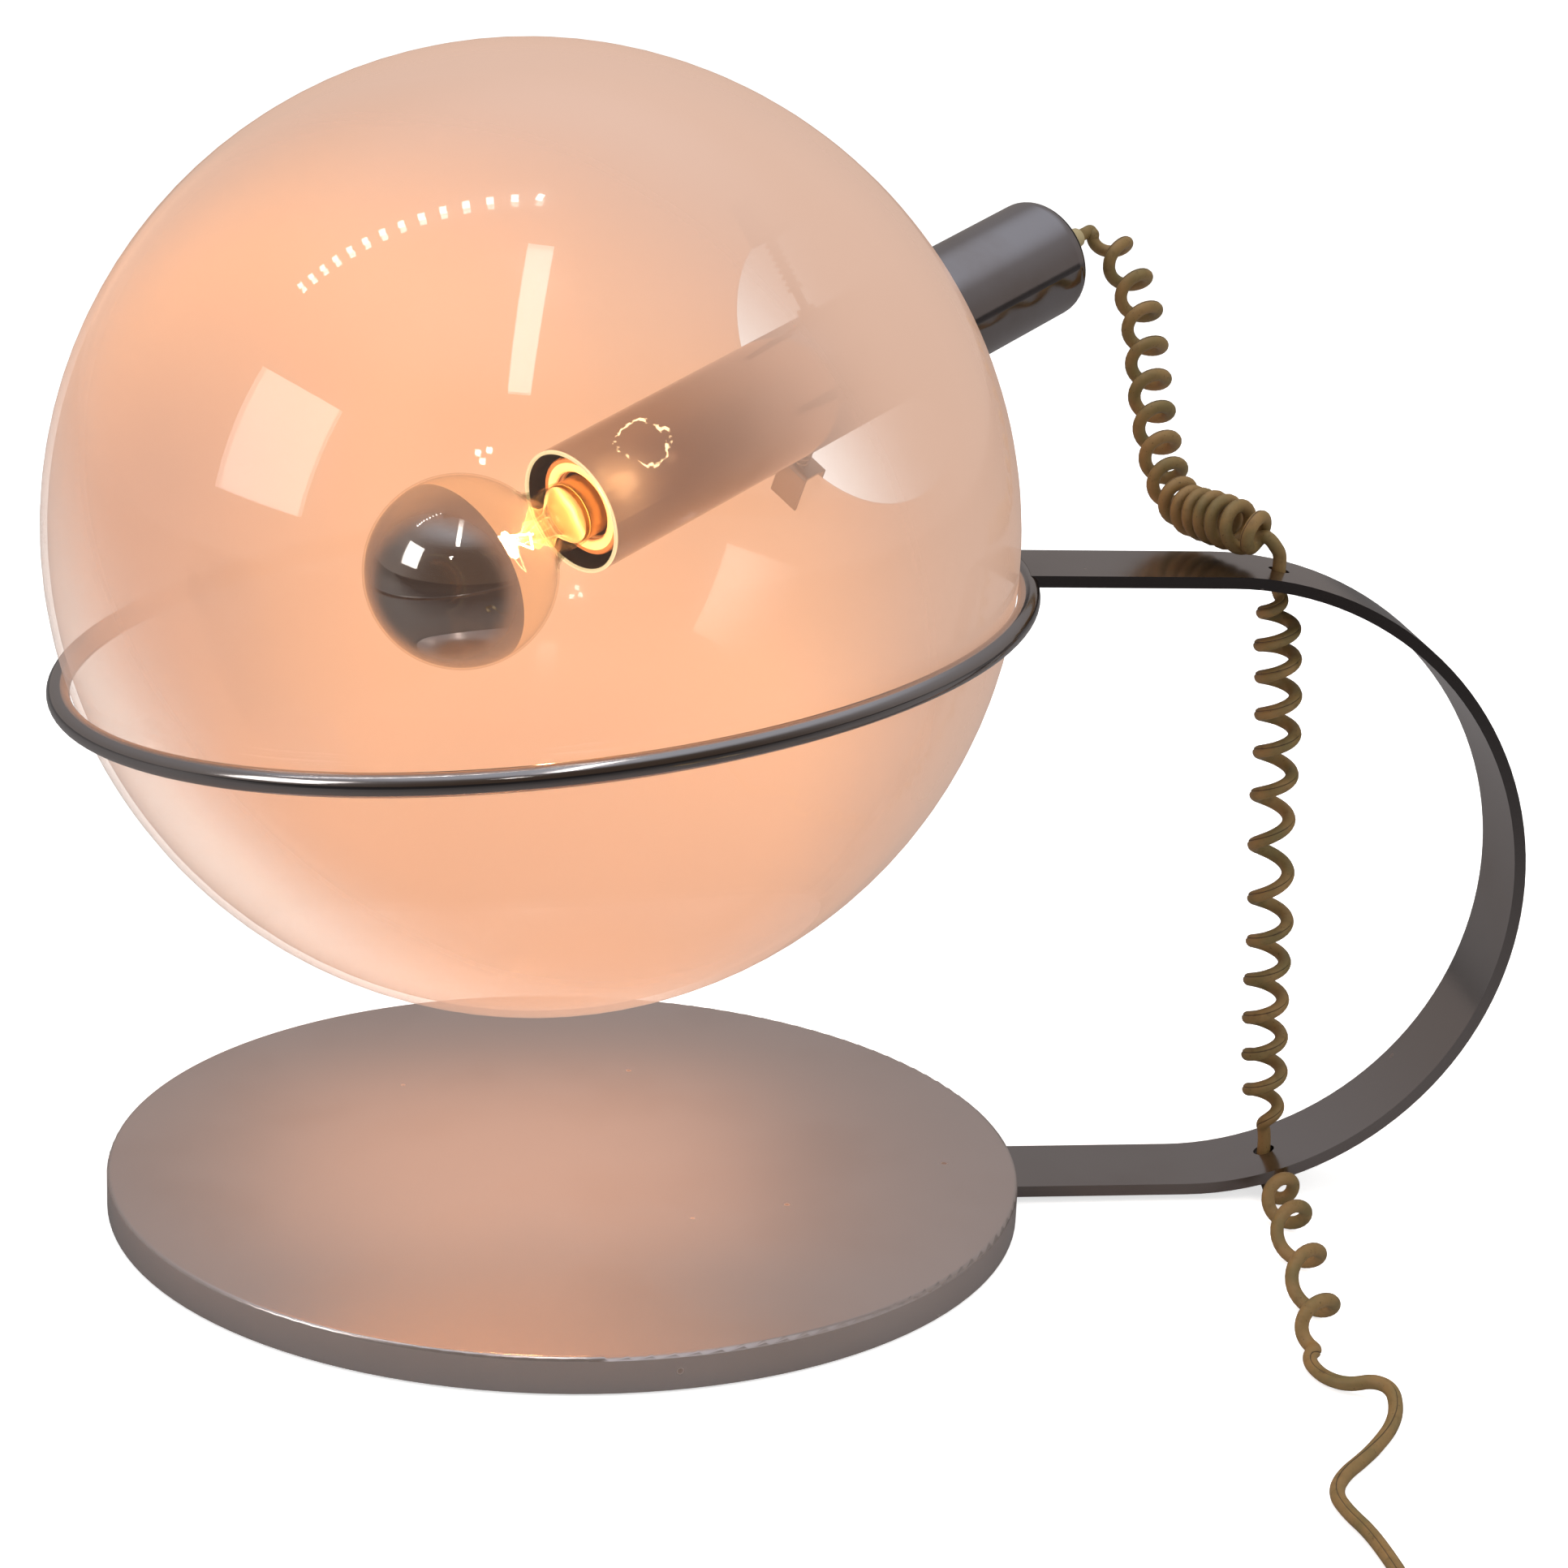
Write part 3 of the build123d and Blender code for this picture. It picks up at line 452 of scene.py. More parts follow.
@dataclass(frozen=True)
class ClearGlass:
    """Thin clear glass."""

    name: str
    tint: Colour = (1.0, 0.985, 0.96)
    grazing: float = 0.6
    lit: Colour | None = None

    def make(self) -> bpy.types.Material:
        """Build the material: what is behind shows, with a shine that grows to the edges; with a lit colour, a
        painted glow of the bulb's light there instead.
        """
        paint = new_paint(self.name)
        if self.lit:
            # Painted light: the glass glows towards its edges in the lit colour.
            edge = paint.gloss(0.10, 1.0)
            warm = paint.principled(
                Base_Color=self.lit, Emission_Color=self.lit, Emission_Strength=1.3, Roughness=0.1
            )
            see = paint.node("ShaderNodeBsdfTransparent", None, {"Color": (*self.tint, 1.0)})
            return paint.finish(paint.node("ShaderNodeMixShader", None, {0: edge.bounded(), 1: see, 2: warm}))
        streak = paint.noise(90.0, 2.0)
        rough = streak * 0.03 + 0.01
        clear = paint.node("ShaderNodeBsdfTransparent", None, {"Color": (*self.tint, 1.0)})
        shine = paint.node("ShaderNodeBsdfGlossy", None, {"Roughness": rough})
        surface = {0: paint.gloss(0.04, self.grazing), 1: clear, 2: shine}
        return paint.finish(paint.node("ShaderNodeMixShader", None, surface))


@dataclass(frozen=True)
class Glow:
    """A wire that glows."""

    name: str
    colour: Colour = (1.0, 0.62, 0.25)
    strength: float = 22.0

    def make(self) -> bpy.types.Material:
        """Build the material: brighter in the middle of each winding."""
        paint = new_paint(self.name)
        hot = paint.mix(paint.noise(900.0, 1.0), self.colour, (1.0, 0.85, 0.55))
        return paint.finish(
            paint.principled(Base_Color=(0.8, 0.5, 0.3), Emission_Color=hot, Emission_Strength=self.strength)
        )


@dataclass(frozen=True)
class CordSkin:
    """Aged cord sheath: khaki, greener and browner in patches, with a dark seam and dirt."""

    name: str = "cord_paint"
    tint: Colour = (0.27, 0.165, 0.062)
    green: Colour = (0.175, 0.130, 0.048)
    dirt: Colour = (0.055, 0.032, 0.012)

    def make(self) -> bpy.types.Material:
        """Build the material: the seam and the dirt beside it follow the tube's own map."""
        paint = new_paint(self.name)
        uv = paint.node("ShaderNodeUVMap", {"uv_map": "tube"}, None, "UV")
        round_way = paint.axis("Y", uv)
        seam = (round_way - 0.5).maths("ABSOLUTE")
        line = seam.ramp(0.012, 0.035, 1.0, 0.0)
        beside = seam.ramp(0.02, 0.12, 1.0, 0.0)
        patch = paint.noise(55.0, 4.0)
        grime = paint.noise(240.0, 5.0)
        specks = paint.noise(900.0, 2.0).ramp(0.66, 0.74)
        colour = paint.mix(patch.ramp(0.35, 0.7), self.tint, self.green)
        colour = paint.mix((grime.ramp(0.5, 0.85) * (beside * 0.5 + 0.35)).bounded(), colour, self.dirt)
        colour = paint.mix(specks * 0.6, colour, self.dirt)
        colour = paint.mix(line * 0.85, colour, (0.035, 0.022, 0.012))
        rough = grime * 0.25 + 0.36
        normal = paint.bump(paint.noise(700.0, 3.0), 0.00006, 0.5)
        return paint.finish(paint.principled(Base_Color=colour, Roughness=rough, Normal=normal, IOR=1.45))


class Finish(Enum):
    """Every finish of the lamp, under the name of what it covers."""

    BASE = Chrome("base_paint", (0.66, 0.585, 0.56), (0.55, 0.46, 0.42), 0.14, 0.14, 0.3, 0.7, 0.8)
    STRAP = Chrome("strap_paint", rough=0.10, haze=0.12, mottle=0.3, specks=0.4)
    RING = Chrome("ring_paint", rough=0.07, haze=0.08, mottle=0.2, tint=(0.46, 0.43, 0.42))
    TUBE = TubeChrome()
    GLOBE = OpalShell()
    BULB_GLASS = ClearGlass("bulb_glass_paint", (1.0, 0.975, 0.93))
    # Painted light: the stem glass glows as if lit by the filament.
    STEM_GLASS = ClearGlass("stem_glass_paint", (1.0, 0.95, 0.86), lit=(1.0, 0.66, 0.32))
    MIRROR = Chrome("mirror_paint", tint=(0.50, 0.55, 0.66), stain=(0.42, 0.44, 0.50), rough=0.012, haze=0.02)
    FILAMENT = Glow("filament_paint")
    BRASS = Metal("brass_paint", (0.68, 0.50, 0.22), 0.28)
    STEEL = Metal("steel_paint", (0.45, 0.43, 0.41), 0.30)
    CLIP = Metal("clip_paint", (0.42, 0.36, 0.31), 0.26)
    IRON = Matter("iron_paint", (0.06, 0.06, 0.06), (0.04, 0.035, 0.03), 0.7, 200.0, 0.0003)
    FELT = Matter("felt_paint", (0.045, 0.06, 0.05), (0.03, 0.04, 0.035), 0.95, 1500.0, 0.0006)
    HOLDER = Ceramic()
    BLACK = Matter("black_paint", (0.03, 0.03, 0.03), (0.05, 0.045, 0.04), 0.42, 600.0, 0.00003)
    GLAND = Matter("gland_paint", (0.44, 0.36, 0.20), (0.33, 0.27, 0.14), 0.45, 400.0, 0.00005)
    SWITCH = Matter("switch_paint", (0.60, 0.50, 0.31), (0.50, 0.40, 0.23), 0.38, 500.0, 0.00003)
    CORD = CordSkin()


FINISH_OF = {
    "base_cover": Finish.BASE,
    "base_weight": Finish.IRON,
    "base_felt": Finish.FELT,
    "strap": Finish.STRAP,
    "strap_screws": Finish.STEEL,
    "globe_ring": Finish.RING,
    "globe": Finish.GLOBE,
    "lamp_tube": Finish.TUBE,
    "cord_gland": Finish.GLAND,
    "inner_lead": Finish.SWITCH,
    "holder_body": Finish.HOLDER,
    "holder_screw_shell": Finish.BRASS,
    "holder_contact": Finish.BRASS,
    "holder_plate": Finish.STEEL,
    "holder_nipple": Finish.STEEL,
    "holder_nuts": Finish.STEEL,
    "bulb_glass": Finish.BULB_GLASS,
    "bulb_mirror": Finish.MIRROR,
    "bulb_cap": Finish.BRASS,
    "bulb_insulator": Finish.BLACK,
    "bulb_button": Finish.BRASS,
    "bulb_stem": Finish.STEM_GLASS,
    "bulb_filament": Finish.FILAMENT,
    "switch_base": Finish.SWITCH,
    "switch_cover": Finish.SWITCH,
    "switch_rocker": Finish.SWITCH,
    "plug_sleeve": Finish.SWITCH,
    "plug_body": Finish.SWITCH,
    "plug_pins": Finish.BRASS,
    **{f"clip_{part}_{number}": Finish.STEEL for part in ("pin", "spring") for number in (1, 2, 3)},
    **{f"clip_hook_{number}": Finish.CLIP for number in (1, 2, 3)},
}


class Paintbox:
    """Makes each finish once and lays it on pieces."""

    def __init__(self) -> None:
        """Start with no materials made."""
        self.made: dict[Finish, bpy.types.Material] = {}

    def get(self, finish: Finish) -> bpy.types.Material:
        """The finish's material, made on first use."""
        if finish not in self.made:
            self.made[finish] = finish.value.make()
        return self.made[finish]

    def dress_nodes(self) -> None:
        """Lay its finish on every CAD node that shows."""
        for name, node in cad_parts.items():
            if name not in FINISH_OF:
                continue
            for slot in node.material_slots:
                slot.material = self.get(FINISH_OF[name])


# Surfaces


def new_piece(name: str, mesh: bpy.types.Mesh, material: bpy.types.Material) -> bpy.types.Object:
    """Put a mesh into the scene as a piece.

    Args:
        name: the piece's name.
        mesh: its mesh, in the row's frame.
        material: its finish.

    Returns:
        The piece, at the origin.
    """
    mesh.materials.append(material)
    piece = bpy.data.objects.new(name, mesh)
    bpy.context.scene.collection.objects.link(piece)
    return piece


def sweep_mesh(name: str, rows: np.ndarray) -> bpy.types.Mesh:
    """Skin a grid of points that closes round its second side, with a fan at each end.

    Args:
        name: the mesh's name.
        rows: points as (rows, points round, 3), each row anticlockwise seen along the way.

    Returns:
        The closed mesh, smooth, with a map named tube: how far along, and how far round.
    """
    count, sides = rows.shape[:2]
    points = np.concatenate((rows.reshape(-1, 3), rows[[0, -1]].mean(axis=1)))
    along, round_way = np.meshgrid(np.arange(count - 1), np.arange(sides), indexing="ij")
    one = along * sides + round_way
    two = along * sides + (round_way + 1) % sides
    quads = np.stack((one, two, two + sides, one + sides), axis=-1).reshape(-1, 4)
    ring = np.arange(sides)
    first = np.stack((np.full(sides, count * sides), (ring + 1) % sides, ring), axis=-1)
    base = (count - 1) * sides
    last = np.stack((np.full(sides, count * sides + 1), base + ring, base + (ring + 1) % sides), axis=-1)
    mesh = bpy.data.meshes.new(name)
    mesh.from_pydata(points.tolist(), [], quads.tolist() + first.tolist() + last.tolist())
    mesh.shade_smooth()
    one_on, one_round = along + 1, round_way + 1
    corners = np.stack((along, round_way, along, one_round, one_on, one_round, one_on, round_way), -1)
    flat = corners.reshape(-1, 2).astype(np.float32) / (count - 1, sides)
    caps = np.zeros((6 * sides, 2), np.float32)
    layer = mesh.uv_layers.new(name="tube")
    layer.data.foreach_set("uv", np.concatenate((flat, caps)).astype(np.float32).ravel())
    return mesh


def unit(vectors: np.ndarray) -> np.ndarray:
    """Each vector over its own length."""
    return vectors / np.linalg.norm(vectors, axis=-1, keepdims=True)


# Cords


@dataclass
class Route:
    """A cord's route. Each row is x, y, z, the turn of the curl there, and the curl's radius, in mm."""

    name: str
    rows: list[tuple[float, float, float, float, float]]
    fineness: int = 26

    def read(self, columns: slice) -> np.ndarray:
        """Points along the NURBS spline whose control points are these columns of the rows.

        Args:
            columns: three columns of the rows, or fewer, padded with noughts.

        Returns:
            The spline's points, evenly spaced in its parameter.
        """
        table = np.array(self.rows)[:, columns]
        points = np.ones((len(table), 4))
        points[:, :3] = np.pad(table, ((0, 0), (0, 3 - table.shape[1])))
        curve = bpy.data.curves.new(self.name, "CURVE")
        curve.dimensions = "3D"
        curve.resolution_u = self.fineness
        spline = curve.splines.new("NURBS")
        spline.points.add(len(points) - 1)
        spline.points.foreach_set("co", points.ravel())
        spline.order_u = 3
        spline.use_endpoint_u = True
        carrier = bpy.data.objects.new(self.name, curve)
        mesh = bpy.data.meshes.new_from_object(carrier)
        line = np.empty(3 * len(mesh.vertices))
        mesh.vertices.foreach_get("co", line)
        bpy.data.objects.remove(carrier)
        bpy.data.curves.remove(curve)
        bpy.data.meshes.remove(mesh)
        return line.reshape(-1, 3)


@dataclass
class CurledCord:
    """A cord whose line is a helix about its route, and straight where the curl's radius is nought."""

    name: str
    nodes: tuple[str, ...]
    rows: list[tuple[float, float, float, float, float]]
    length: float
    far_end: str
    material: bpy.types.Material
    lay: str = "loose"
    phase: float = -90.0
    level: Colour = (1.0, 0.0, 0.0)
    diameter: float = 5.8
    seam_depth: float = 0.34
    seam_width: float = 0.10
    seam_turn: float = 25.0
    with_pieces: list[bpy.types.Object] = field(default_factory=list)

    def lines(self) -> tuple[np.ndarray, np.ndarray]:
        """The cord's centreline and, at each point, the direction away from the curl's axis.

        With the route's tangent forward, side = the level direction made square to it, rise = forward x side,
        a = phase + 2 pi turn: line = route + radius (side cos a + rise sin a).
        """
        route = Route(self.name, self.rows)
        axis = route.read(slice(0, 3)) * MM
        curl = route.read(slice(3, 5))
        forward = unit(np.gradient(axis, axis=0))
        level = np.array(self.level)
        side = unit(level - forward * (forward @ level)[:, None])
        rise = np.cross(forward, side)
        angle = (radians(self.phase) + 2 * pi * curl[:, 0])[:, None]
        outward = side * np.cos(angle) + rise * np.sin(angle)
        return axis + outward * curl[:, 1:2] * MM, outward

    def section(self) -> tuple[np.ndarray, np.ndarray]:
        """Angle and radius round the section: a circle less a bell-shaped seam half way round."""
        even = np.linspace(-pi, pi, 27)[1:]
        angle = np.sign(even) * pi * (np.abs(even) / pi) ** 1.5
        angle = np.sort(angle)
        radius = self.diameter / 2 - self.seam_depth * np.exp(-((angle / self.seam_width) ** 2))
        return angle, radius * MM

    def build(self) -> bpy.types.Object:
        """Carry the section along the line: point = line + radius (outward cos a + across sin a)."""
        line, outward = self.lines()
        forward = unit(np.gradient(line, axis=0))
        outward = unit(outward - forward * np.sum(outward * forward, axis=1, keepdims=True))
        across = np.cross(forward, outward)
        turned = radians(self.seam_turn)
        angle, radius = self.section()
        swing = (angle + turned)[None, :, None]
        reach = radius[None, :, None]
        rows = line[:, None] + reach * (outward[:, None] * np.cos(swing) + across[:, None] * np.sin(swing))
        mesh = sweep_mesh(self.name, rows)
        piece = new_piece(self.name, mesh, self.material)
        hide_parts(*self.nodes)
        self.diameter * MM
        measured = float(np.linalg.norm(np.diff(line, axis=0), axis=1).sum())
        log.info("%s: %d points, %.3f m", self.name, len(line), measured)
        return piece


UPPER_ROWS = [
    (244.85, 201.17, 388.84, 0.55, 0.0),
    (248.7, 204.1, 390.2, 0.6, 0.0),
    (253.7, 207.4, 391.6, 0.72, 1.2),
    (257.3, 203.0, 388.0, 0.95, 5.5),
    (262.7, 187.2, 382.3, 1.5, 7.4),
    (266.1, 169.4, 371.1, 2.5, 7.4),
    (266.7, 151.7, 360.0, 3.5, 7.4),
    (265.5, 133.9, 347.0, 4.5, 7.4),
    (263.5, 116.1, 335.6, 5.5, 7.4),
    (262.1, 98.3, 324.6, 6.5, 7.4),
    (261.5, 80.6, 314.6, 7.5, 7.4),
    (260.9, 62.8, 306.3, 8.5, 7.4),
    (262.8, 49.0, 300.0, 9.5, 7.4),
    (266.4, 38.0, 297.4, 10.65, 8.0),
    (270.6, 29.0, 297.8, 11.9, 8.7),
    (274.8, 20.0, 298.0, 13.15, 9.0),
    (279.0, 10.5, 297.9, 14.4, 8.8),
    (284.0, 0.5, 297.6, 15.35, 8.4),
    (286.5, -3.0, 294.8, 15.95, 5.0),
    (293.0, -1.5, 291.5, 16.2, 1.0),
    (297.0, 0.0, 288.0, 16.25, 0.0),
    (297.0, 0.0, 282.0, 16.25, 0.0),
    (297.0, 0.0, 276.0, 16.25, 0.0),
]

RUN_ROWS = [
    (297.0, 0.0, 275.97, 0.1, 0.0),
    (297.0, 0.0, 271.5, 0.2, 0.0),
    (297.5, 0.0, 267.0, 0.45, 3.0),
    (298.0, 0.0, 261.0, 0.9, 7.4),
    (298.5, 0.0, 252.0, 1.5, 7.4),
    (300.2, 0.0, 238.9, 2.5, 7.4),
    (301.6, 0.0, 221.9, 3.5, 7.4),
    (302.6, 0.0, 205.1, 4.5, 7.4),
    (302.7, 0.0, 186.4, 5.5, 7.4),
    (303.0, 0.0, 165.7, 6.5, 7.4),
    (305.1, 0.0, 139.6, 7.5, 7.4),
    (306.5, 0.0, 118.2, 8.5, 7.4),
    (306.5, 0.0, 100.4, 9.5, 7.4),
    (307.3, 0.0, 82.5, 10.5, 7.4),
    (308.3, 0.0, 64.8, 11.5, 7.4),
    (309.7, 0.0, 48.6, 12.5, 7.4),
    (310.8, 0.0, 34.5, 13.3, 6.5),
    (312.0, 0.0, 26.5, 13.7, 1.2),
    (312.0, 0.0, 20.5, 13.75, 0.0),
    (312.0, 0.0, 14.0, 13.75, 0.0),
    (312.0, 0.0, 8.5, 13.75, 0.0),
    (312.0, -1.0, 3.2, 13.75, 0.0),
    (311.9, -6.5, 2.95, 13.75, 0.0),
    (311.7, -13.0, 2.95, 13.8, 0.0),
    (311.4, -20.0, 4.2, 13.88, 1.25),
    (311.2, -27.0, 7.2, 14.02, 4.25),
    (311.6, -37.0, 10.35, 14.5, 7.4),
    (306.3, -67.6, 10.35, 15.5, 7.4),
    (301.2, -114.2, 10.35, 16.5, 7.4),
    (293.3, -161.9, 10.35, 17.5, 7.4),
    (288.0, -175.0, 7.8, 17.95, 4.8),
    (284.0, -181.0, 3.6, 18.3, 0.6),
    (283.0, -190.0, 2.95, 18.5, 0.0),
    (286.0, -201.5, 2.95, 18.5, 0.0),
    (293.0, -209.5, 3.95, 18.5, 0.0),
    (302.0, -212.0, 6.95, 18.45, 0.0),
    (307.5, -219.5, 6.95, 18.4, 0.0),
    (306.0, -231.0, 3.95, 18.4, 0.0),
    (300.5, -243.0, 2.95, 18.4, 0.0),
    (293.0, -254.5, 2.95, 18.4, 0.0),
    (283.5, -267.0, 2.95, 18.45, 0.0),
    (270.0, -281.5, 2.95, 18.45, 0.0),
    (263.4, -295.0, 2.95, 18.45, 0.0),
    (264.6, -309.0, 2.95, 18.5, 0.0),
    (268.5, -324.0, 2.95, 18.5, 0.0),
    (270.3, -345.0, 2.95, 18.5, 0.0),
    (271.0, -366.0, 2.95, 18.5, 0.0),
    (271.0, -380.4, 8.0, 18.5, 0.0),
    (271.0, -392.0, 8.0, 18.5, 0.0),
]


@dataclass
class Coil:
    """The lead's end, wound into a flat coil of two layers between the switch and the plug."""

    centre: tuple[float, float] = (229.1, -492.0)
    inner: float = 22.4
    pitch: float = 6.5
    layer: float = 6.5
    turns_in: float = 3.0
    turns_out: float = 2.5
    points_per_turn: int = 16
    low: float = 2.95

    def rows(self) -> list[tuple[float, float, float, float, float]]:
        """The coil's route: radius = inner + pitch |turn - turns in|, a layer up as it turns back."""
        steps = round(self.points_per_turn * (self.turns_in + self.turns_out))
        turn = np.arange(steps + 1) / self.points_per_turn
        back = turn - self.turns_in
        radius = self.inner + self.pitch * np.abs(back)
        climb = self.low + self.layer * np.clip(2 * back + 0.5, 0, 1)
        x = self.centre[0] + radius * np.cos(-2 * pi * turn)
        y = self.centre[1] + radius * np.sin(-2 * pi * turn)
        wound = [(*point, 0.25, 0.0) for point in zip(x.tolist(), y.tolist(), climb.tolist())]
        from_switch = ((271.0, -450.0, 8.0), (271.0, -457.0, 7.9), (271.0, -470.0, 4.6))
        to_plug = ((190.45, -476.0, 8.6), (190.45, -464.0, 7.5), (190.45, -458.0, 7.5))
        straight = [[(*point, 0.25, 0.0) for point in end] for end in (from_switch, to_plug)]
        return straight[0] + wound + straight[1]


@dataclass
class Stem:
    """The bulb's glass stem: a pinch that carries the wire, a star of ribs and a flare to the neck."""

    material: bpy.types.Material
    places: tuple[float, ...] = (-11.0, -9.0, -5.0, -2.0, 2.0, 6.0, 10.0, 13.0, 15.5, 17.0)
    radii: tuple[float, ...] = (1.4, 2.2, 2.6, 4.6, 7.2, 6.0, 6.4, 8.6, 11.2, 12.6)
    ribs: tuple[float, ...] = (0.0, 0.1, 0.2, 0.35, 0.42, 0.2, 0.1, 0.06, 0.03, 0.0)
    rib_count: int = 5
    steps: int = 60
    sides: int = 80

    def build(self) -> bpy.types.Object:
        """Turn the profile about the tube's axis: r(s, a) = radius(s) (1 + ribs(s) cos(count a))."""
        far = np.linspace(self.places[0], self.places[-1], self.steps)
        radius = np.interp(far, self.places, self.radii)
        rib = np.interp(far, self.places, self.ribs)
        angle = np.arange(self.sides) * 2 * pi / self.sides
        reach = radius[:, None] * (1 + rib[:, None] * np.cos(self.rib_count * angle)[None])
        side = unit(np.cross((0.0, 0.0, 1.0), LIGHT_WAY))
        rise = np.cross(LIGHT_WAY, side)
        around = side * np.cos(angle)[:, None] + rise * np.sin(angle)[:, None]
        rows = GLOBE_CENTRE + far[:, None, None] * MM * LIGHT_WAY + reach[..., None] * MM * around[None]
        piece = new_piece("bulb_stem_star", sweep_mesh("bulb_stem_star", rows), self.material)
        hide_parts("bulb_stem")
        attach(piece, "bulb")
        return piece


@dataclass
class Lead:
    """The whole cord, in the stretches that the strap's holes, the switch and the plug part."""

    box: Paintbox

    def build(self) -> None:
        """Build the stretch above the strap, the long run to the switch and the coil."""
        skin = self.box.get(Finish.CORD)
        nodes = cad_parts
        upper = CurledCord("cord_above_strap", ("cord_upper",), UPPER_ROWS, 0.82, "object", skin)
        piece = upper.build()
        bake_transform(piece)
        switch = [nodes[name] for name in ("switch_base", "switch_cover", "switch_rocker")]
        run = CurledCord(
            "cord_run", ("cord_middle", "cord_table", "cord_tail"), RUN_ROWS, 1.12, "object", skin,
            with_pieces=switch,
        )
        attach(run.build(), "stand")
        plug = [nodes[name] for name in ("plug_sleeve", "plug_body", "plug_pins")]
        coil = CurledCord(
            "cord_coil", ("cord_hank",), Coil().rows(), 1.16, "plug", skin, lay="coiled", with_pieces=plug,
            level=(0.0, 0.0, 1.0), seam_turn=0.0,
        )
        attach(coil.build(), "stand")


# Stage


@dataclass
class Viewpoint:
    """Where the photograph was taken from."""

    place: tuple[float, float, float] = (-0.127164, -1.487769, 0.656268)
    heading: float = -8.259
    drop: float = 17.377
    roll: float = 2.444
    lens: float = 85.2

    def build(self) -> None:
        """Set up the camera: its columns are right, up and back, turned by the roll."""
        turn, fall, lean = (radians(angle) for angle in (self.heading, self.drop, self.roll))
        ahead = Vector((-sin(turn) * cos(fall), cos(turn) * cos(fall), -sin(fall)))
        right = Vector((cos(turn), sin(turn), 0.0))
        over = right.cross(ahead)
        rolled = right * cos(lean) + over * sin(lean)
        upward = over * cos(lean) - right * sin(lean)
        data = bpy.data.cameras.new("viewpoint")
        data.lens = self.lens
        data.sensor_width = 36.0
        data.clip_end = 60.0
        camera = bpy.data.objects.new("viewpoint", data)
        matrix = Matrix((rolled, upward, -ahead)).transposed().to_4x4()
        matrix.translation = Vector(self.place)
        camera.matrix_world = matrix
        bpy.context.scene.collection.objects.link(camera)
        bpy.context.scene.camera = camera


@dataclass
class Lamp:
    """A soft studio light that faces a point."""

    name: str
    place: tuple[float, float, float]
    size: tuple[float, float]
    power: float
    shines: bool = True
    target: tuple[float, float, float] = (0.05, 0.0, 0.25)
    colour: Colour = (1.0, 0.98, 0.96)

    def build(self) -> None:
        """Hang the lamp and turn it to its target."""
        data = bpy.data.lights.new(self.name, "AREA")
        data.shape = "RECTANGLE"
        data.size, data.size_y = self.size
        data.energy = self.power
        data.color = self.colour
        lamp = bpy.data.objects.new(self.name, data)
        way = Vector(self.target) - Vector(self.place)
        lamp.visible_glossy = self.shines
        turned = way.to_track_quat("-Z", "Y").to_matrix().to_4x4()
        lamp.matrix_world = Matrix.Translation(self.place) @ turned
        bpy.context.scene.collection.objects.link(lamp)


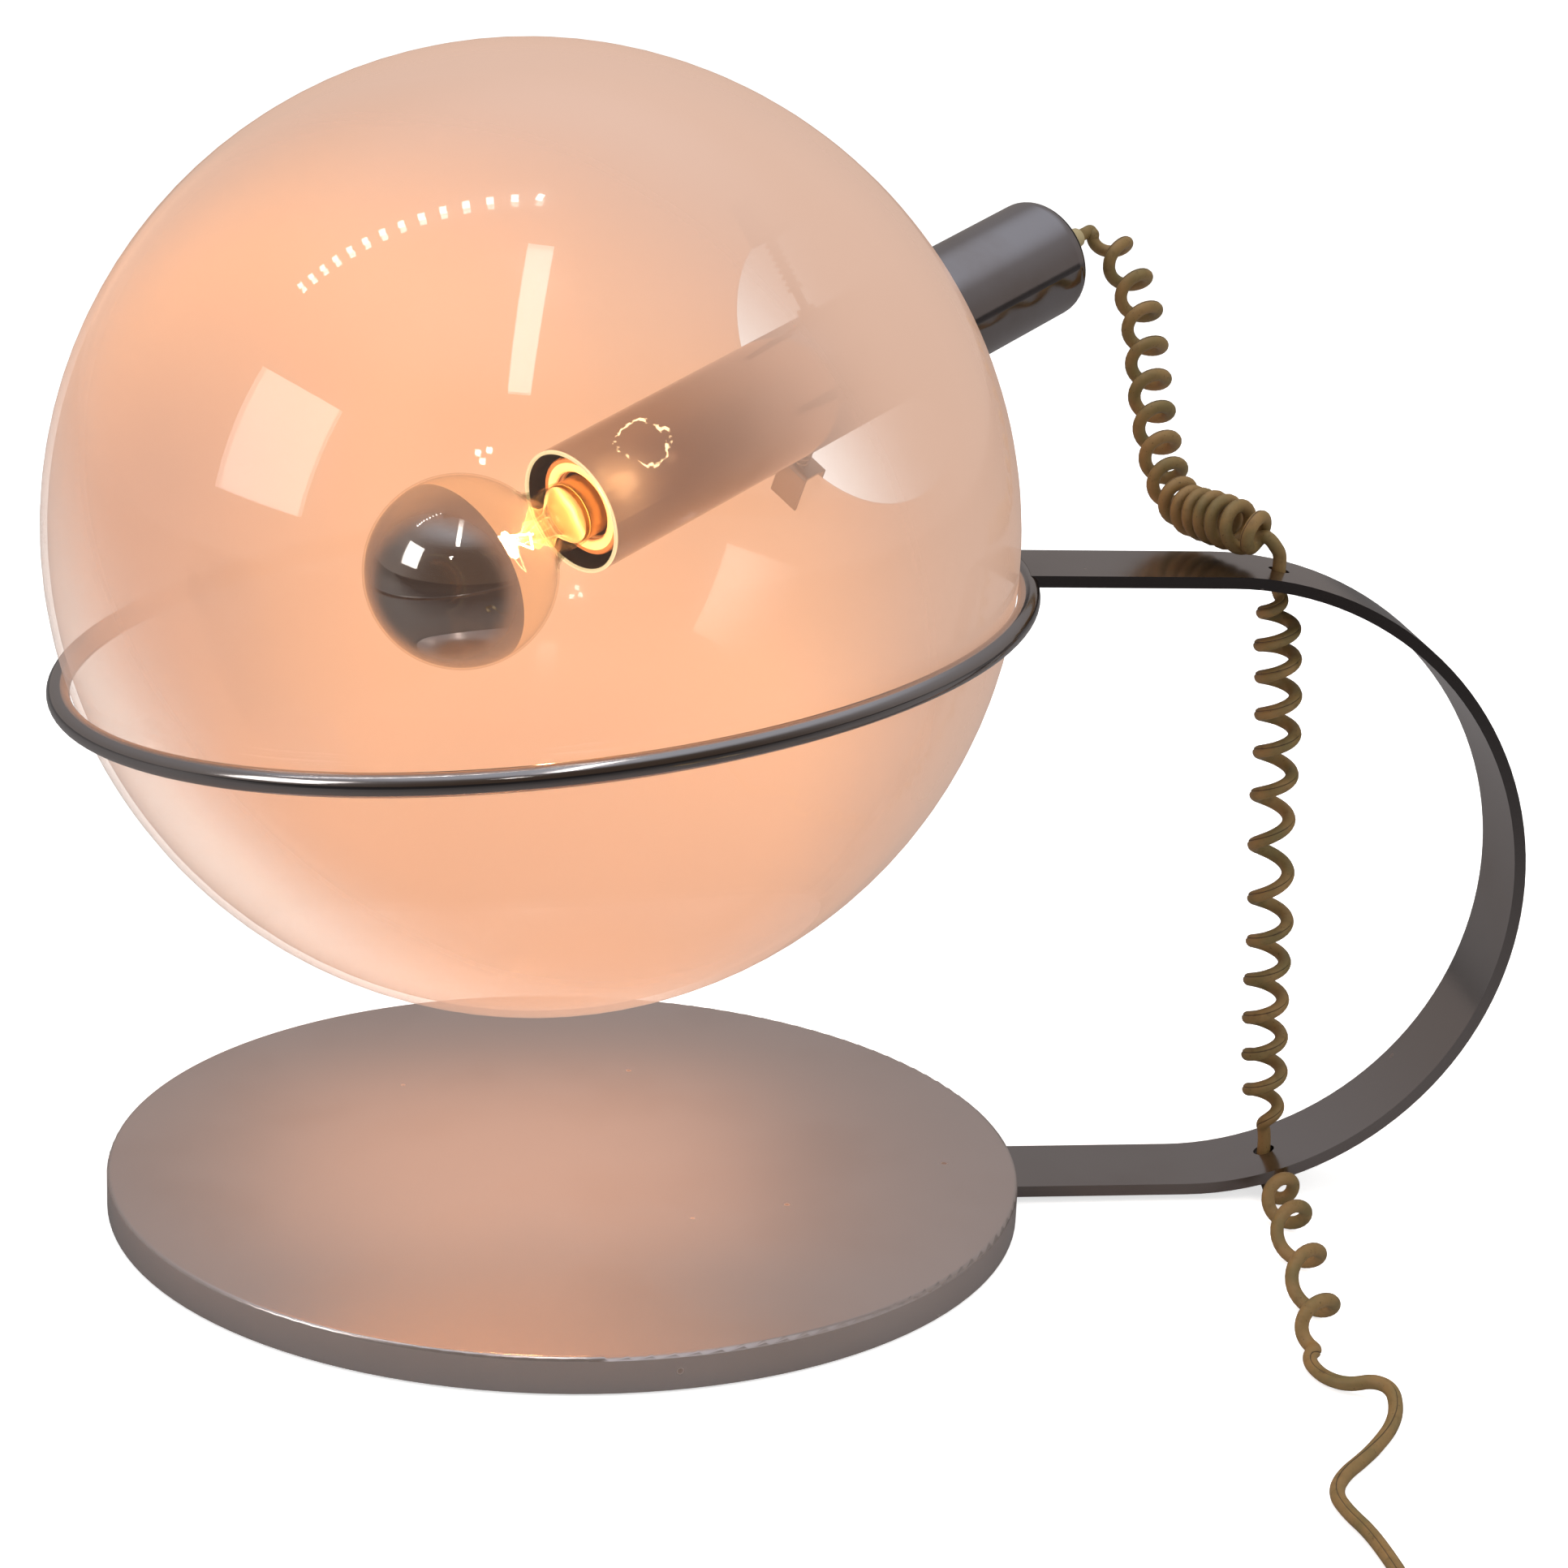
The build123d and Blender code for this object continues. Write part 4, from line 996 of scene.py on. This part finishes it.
@dataclass
class Studio:
    """White floor and backdrop, soft lamps, and the warm light of the bulb."""

    floor_reach: float = 14.0
    bulb_place: float = -0.012
    bulb_power: float = 0.7
    lamps: list[Lamp] = field(
        default_factory=lambda: [
            Lamp("window", (-2.07, -0.8, 1.16), (0.95, 0.95), 9.5),
            Lamp("strip", (-0.18, -1.12, 2.30), (0.2, 1.45), 4.5),
            Lamp("fill", (1.9, -1.2, 1.5), (1.2, 1.2), 14.0, shines=False),
            Lamp("top", (0.1, 0.4, 2.4), (1.6, 1.6), 19.0, shines=False),
            Lamp(
                "warm_pool", (-0.02, 0.0, 0.085), (0.21, 0.21), 0.60, False,
                target=(-0.02, 0.0, 0.0), colour=(1.0, 0.50, 0.27),
            ),
        ]
    )

    def build(self) -> None:
        """Set up the floor, the world, the lamps and the bulb's light."""
        self.lay_floor()
        self.paint_world()
        for lamp in self.lamps + self.ceiling_spots():
            lamp.build()
        data = bpy.data.lights.new("bulb_light", "POINT")
        data.energy = self.bulb_power
        data.color = (1.0, 0.56, 0.26)
        data.shadow_soft_size = 0.006
        glow = bpy.data.objects.new("bulb_light", data)
        glow.location = Vector(GLOBE_CENTRE + LIGHT_WAY * self.bulb_place)
        bpy.context.scene.collection.objects.link(glow)
        bpy.context.scene.view_settings.view_transform = "Standard"

    def ceiling_spots(self) -> list[Lamp]:
        """A straight row of small spots on the ceiling, and three more behind the viewer."""
        first, last, count = np.array((-2.24, 0.11, 2.6)), np.array((-0.03, 0.035, 2.6)), 14
        row = first + (last - first) * np.linspace(0, 1, count)[:, None]
        offsets = np.array(((-0.05, 0.0, 0.03), (0.05, 0.0, 0.05), (0.0, 0.0, -0.06)))
        trio = np.array((-0.63, -2.0, 1.46)) + offsets
        groups = (("spot", row, (0.08, 0.05), 0.24), ("near", trio, (0.05, 0.05), 0.14))
        return [
            Lamp(f"{name}_{number}", tuple(place), size, power)
            for name, places, size, power in groups
            for number, place in enumerate(places.tolist())
        ]

    def lay_floor(self) -> None:
        """Lay a wide pale floor that shows white, and that shining things see as a dim one."""
        reach = self.floor_reach
        corners = np.array(((-1, -1), (1, -1), (1, 1), (-1, 1))) * reach
        points = np.column_stack((corners, np.full(4, -0.0002)))
        mesh = bpy.data.meshes.new("floor")
        mesh.from_pydata(points.tolist(), [], [(0, 1, 2, 3)])
        paint = new_paint("floor_paint")
        seen = paint.node("ShaderNodeLightPath", None, None, "Is Camera Ray")
        mirrored = paint.node("ShaderNodeLightPath", None, None, "Is Glossy Ray")
        grain = paint.mix(paint.noise(3.0), (0.90, 0.895, 0.89), (0.92, 0.915, 0.91))
        # Painted reflection: to what shines, the floor shows as a dim room, darker towards the front.
        room = paint.mix(paint.axis("Y").ramp(-0.9, 0.1), (0.04, 0.038, 0.04), (0.24, 0.235, 0.24))
        grain = paint.mix(mirrored, grain, room)
        lift = paint.mix(seen, (0.0, 0.0, 0.0), (0.70, 0.70, 0.70))
        surface = paint.principled(
            Base_Color=grain, Roughness=0.9, Specular_IOR_Level=0.0, Emission_Color=lift, Emission_Strength=1.0,
        )
        mesh.materials.append(paint.finish(surface))
        floor = bpy.data.objects.new("floor", mesh)
        bpy.context.scene.collection.objects.link(floor)

    def paint_world(self) -> None:
        """White to the camera, soft white to light, and a dim room with a pale ceiling to what shines."""
        world = bpy.data.worlds.new("studio")
        bpy.context.scene.world = world
        paint = Paint(world)
        way = paint.node("ShaderNodeTexCoord", None, None, "Generated")
        high = paint.axis("Z", way)
        back = paint.axis("Y", way)
        wall = paint.mix(high.ramp(0.05, 0.75), (0.26, 0.235, 0.225), (0.34, 0.33, 0.34))
        room = paint.mix(back.ramp(-0.95, 0.0), (0.085, 0.06, 0.045), wall)
        room = paint.mix(high.ramp(0.6, 0.9), room, (0.60, 0.63, 0.70))
        path = paint.node("ShaderNodeLightPath", None, None, "Is Glossy Ray")
        seen = paint.node("ShaderNodeLightPath", None, None, "Is Camera Ray")
        soft = paint.mix(path, (0.44, 0.435, 0.43), room)
        colour = paint.mix(seen, soft, (1.0, 1.0, 1.0))
        light = paint.node("ShaderNodeBackground", None, {"Color": colour, "Strength": 1.0})
        paint.finish(light)


def main() -> None:
    """Build the stage, then the finishes, then the cord and the bulb's stem."""
    logging.basicConfig(level=logging.INFO, format="%(name)s: %(message)s")
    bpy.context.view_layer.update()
    Viewpoint().build()
    Studio().build()
    box = Paintbox()
    box.dress_nodes()
    log.info("finishes: %d", len(box.made))
    Lead(box).build()
    Stem(box.get(Finish.STEM_GLASS)).build()


if __name__ == "__main__":
    main()
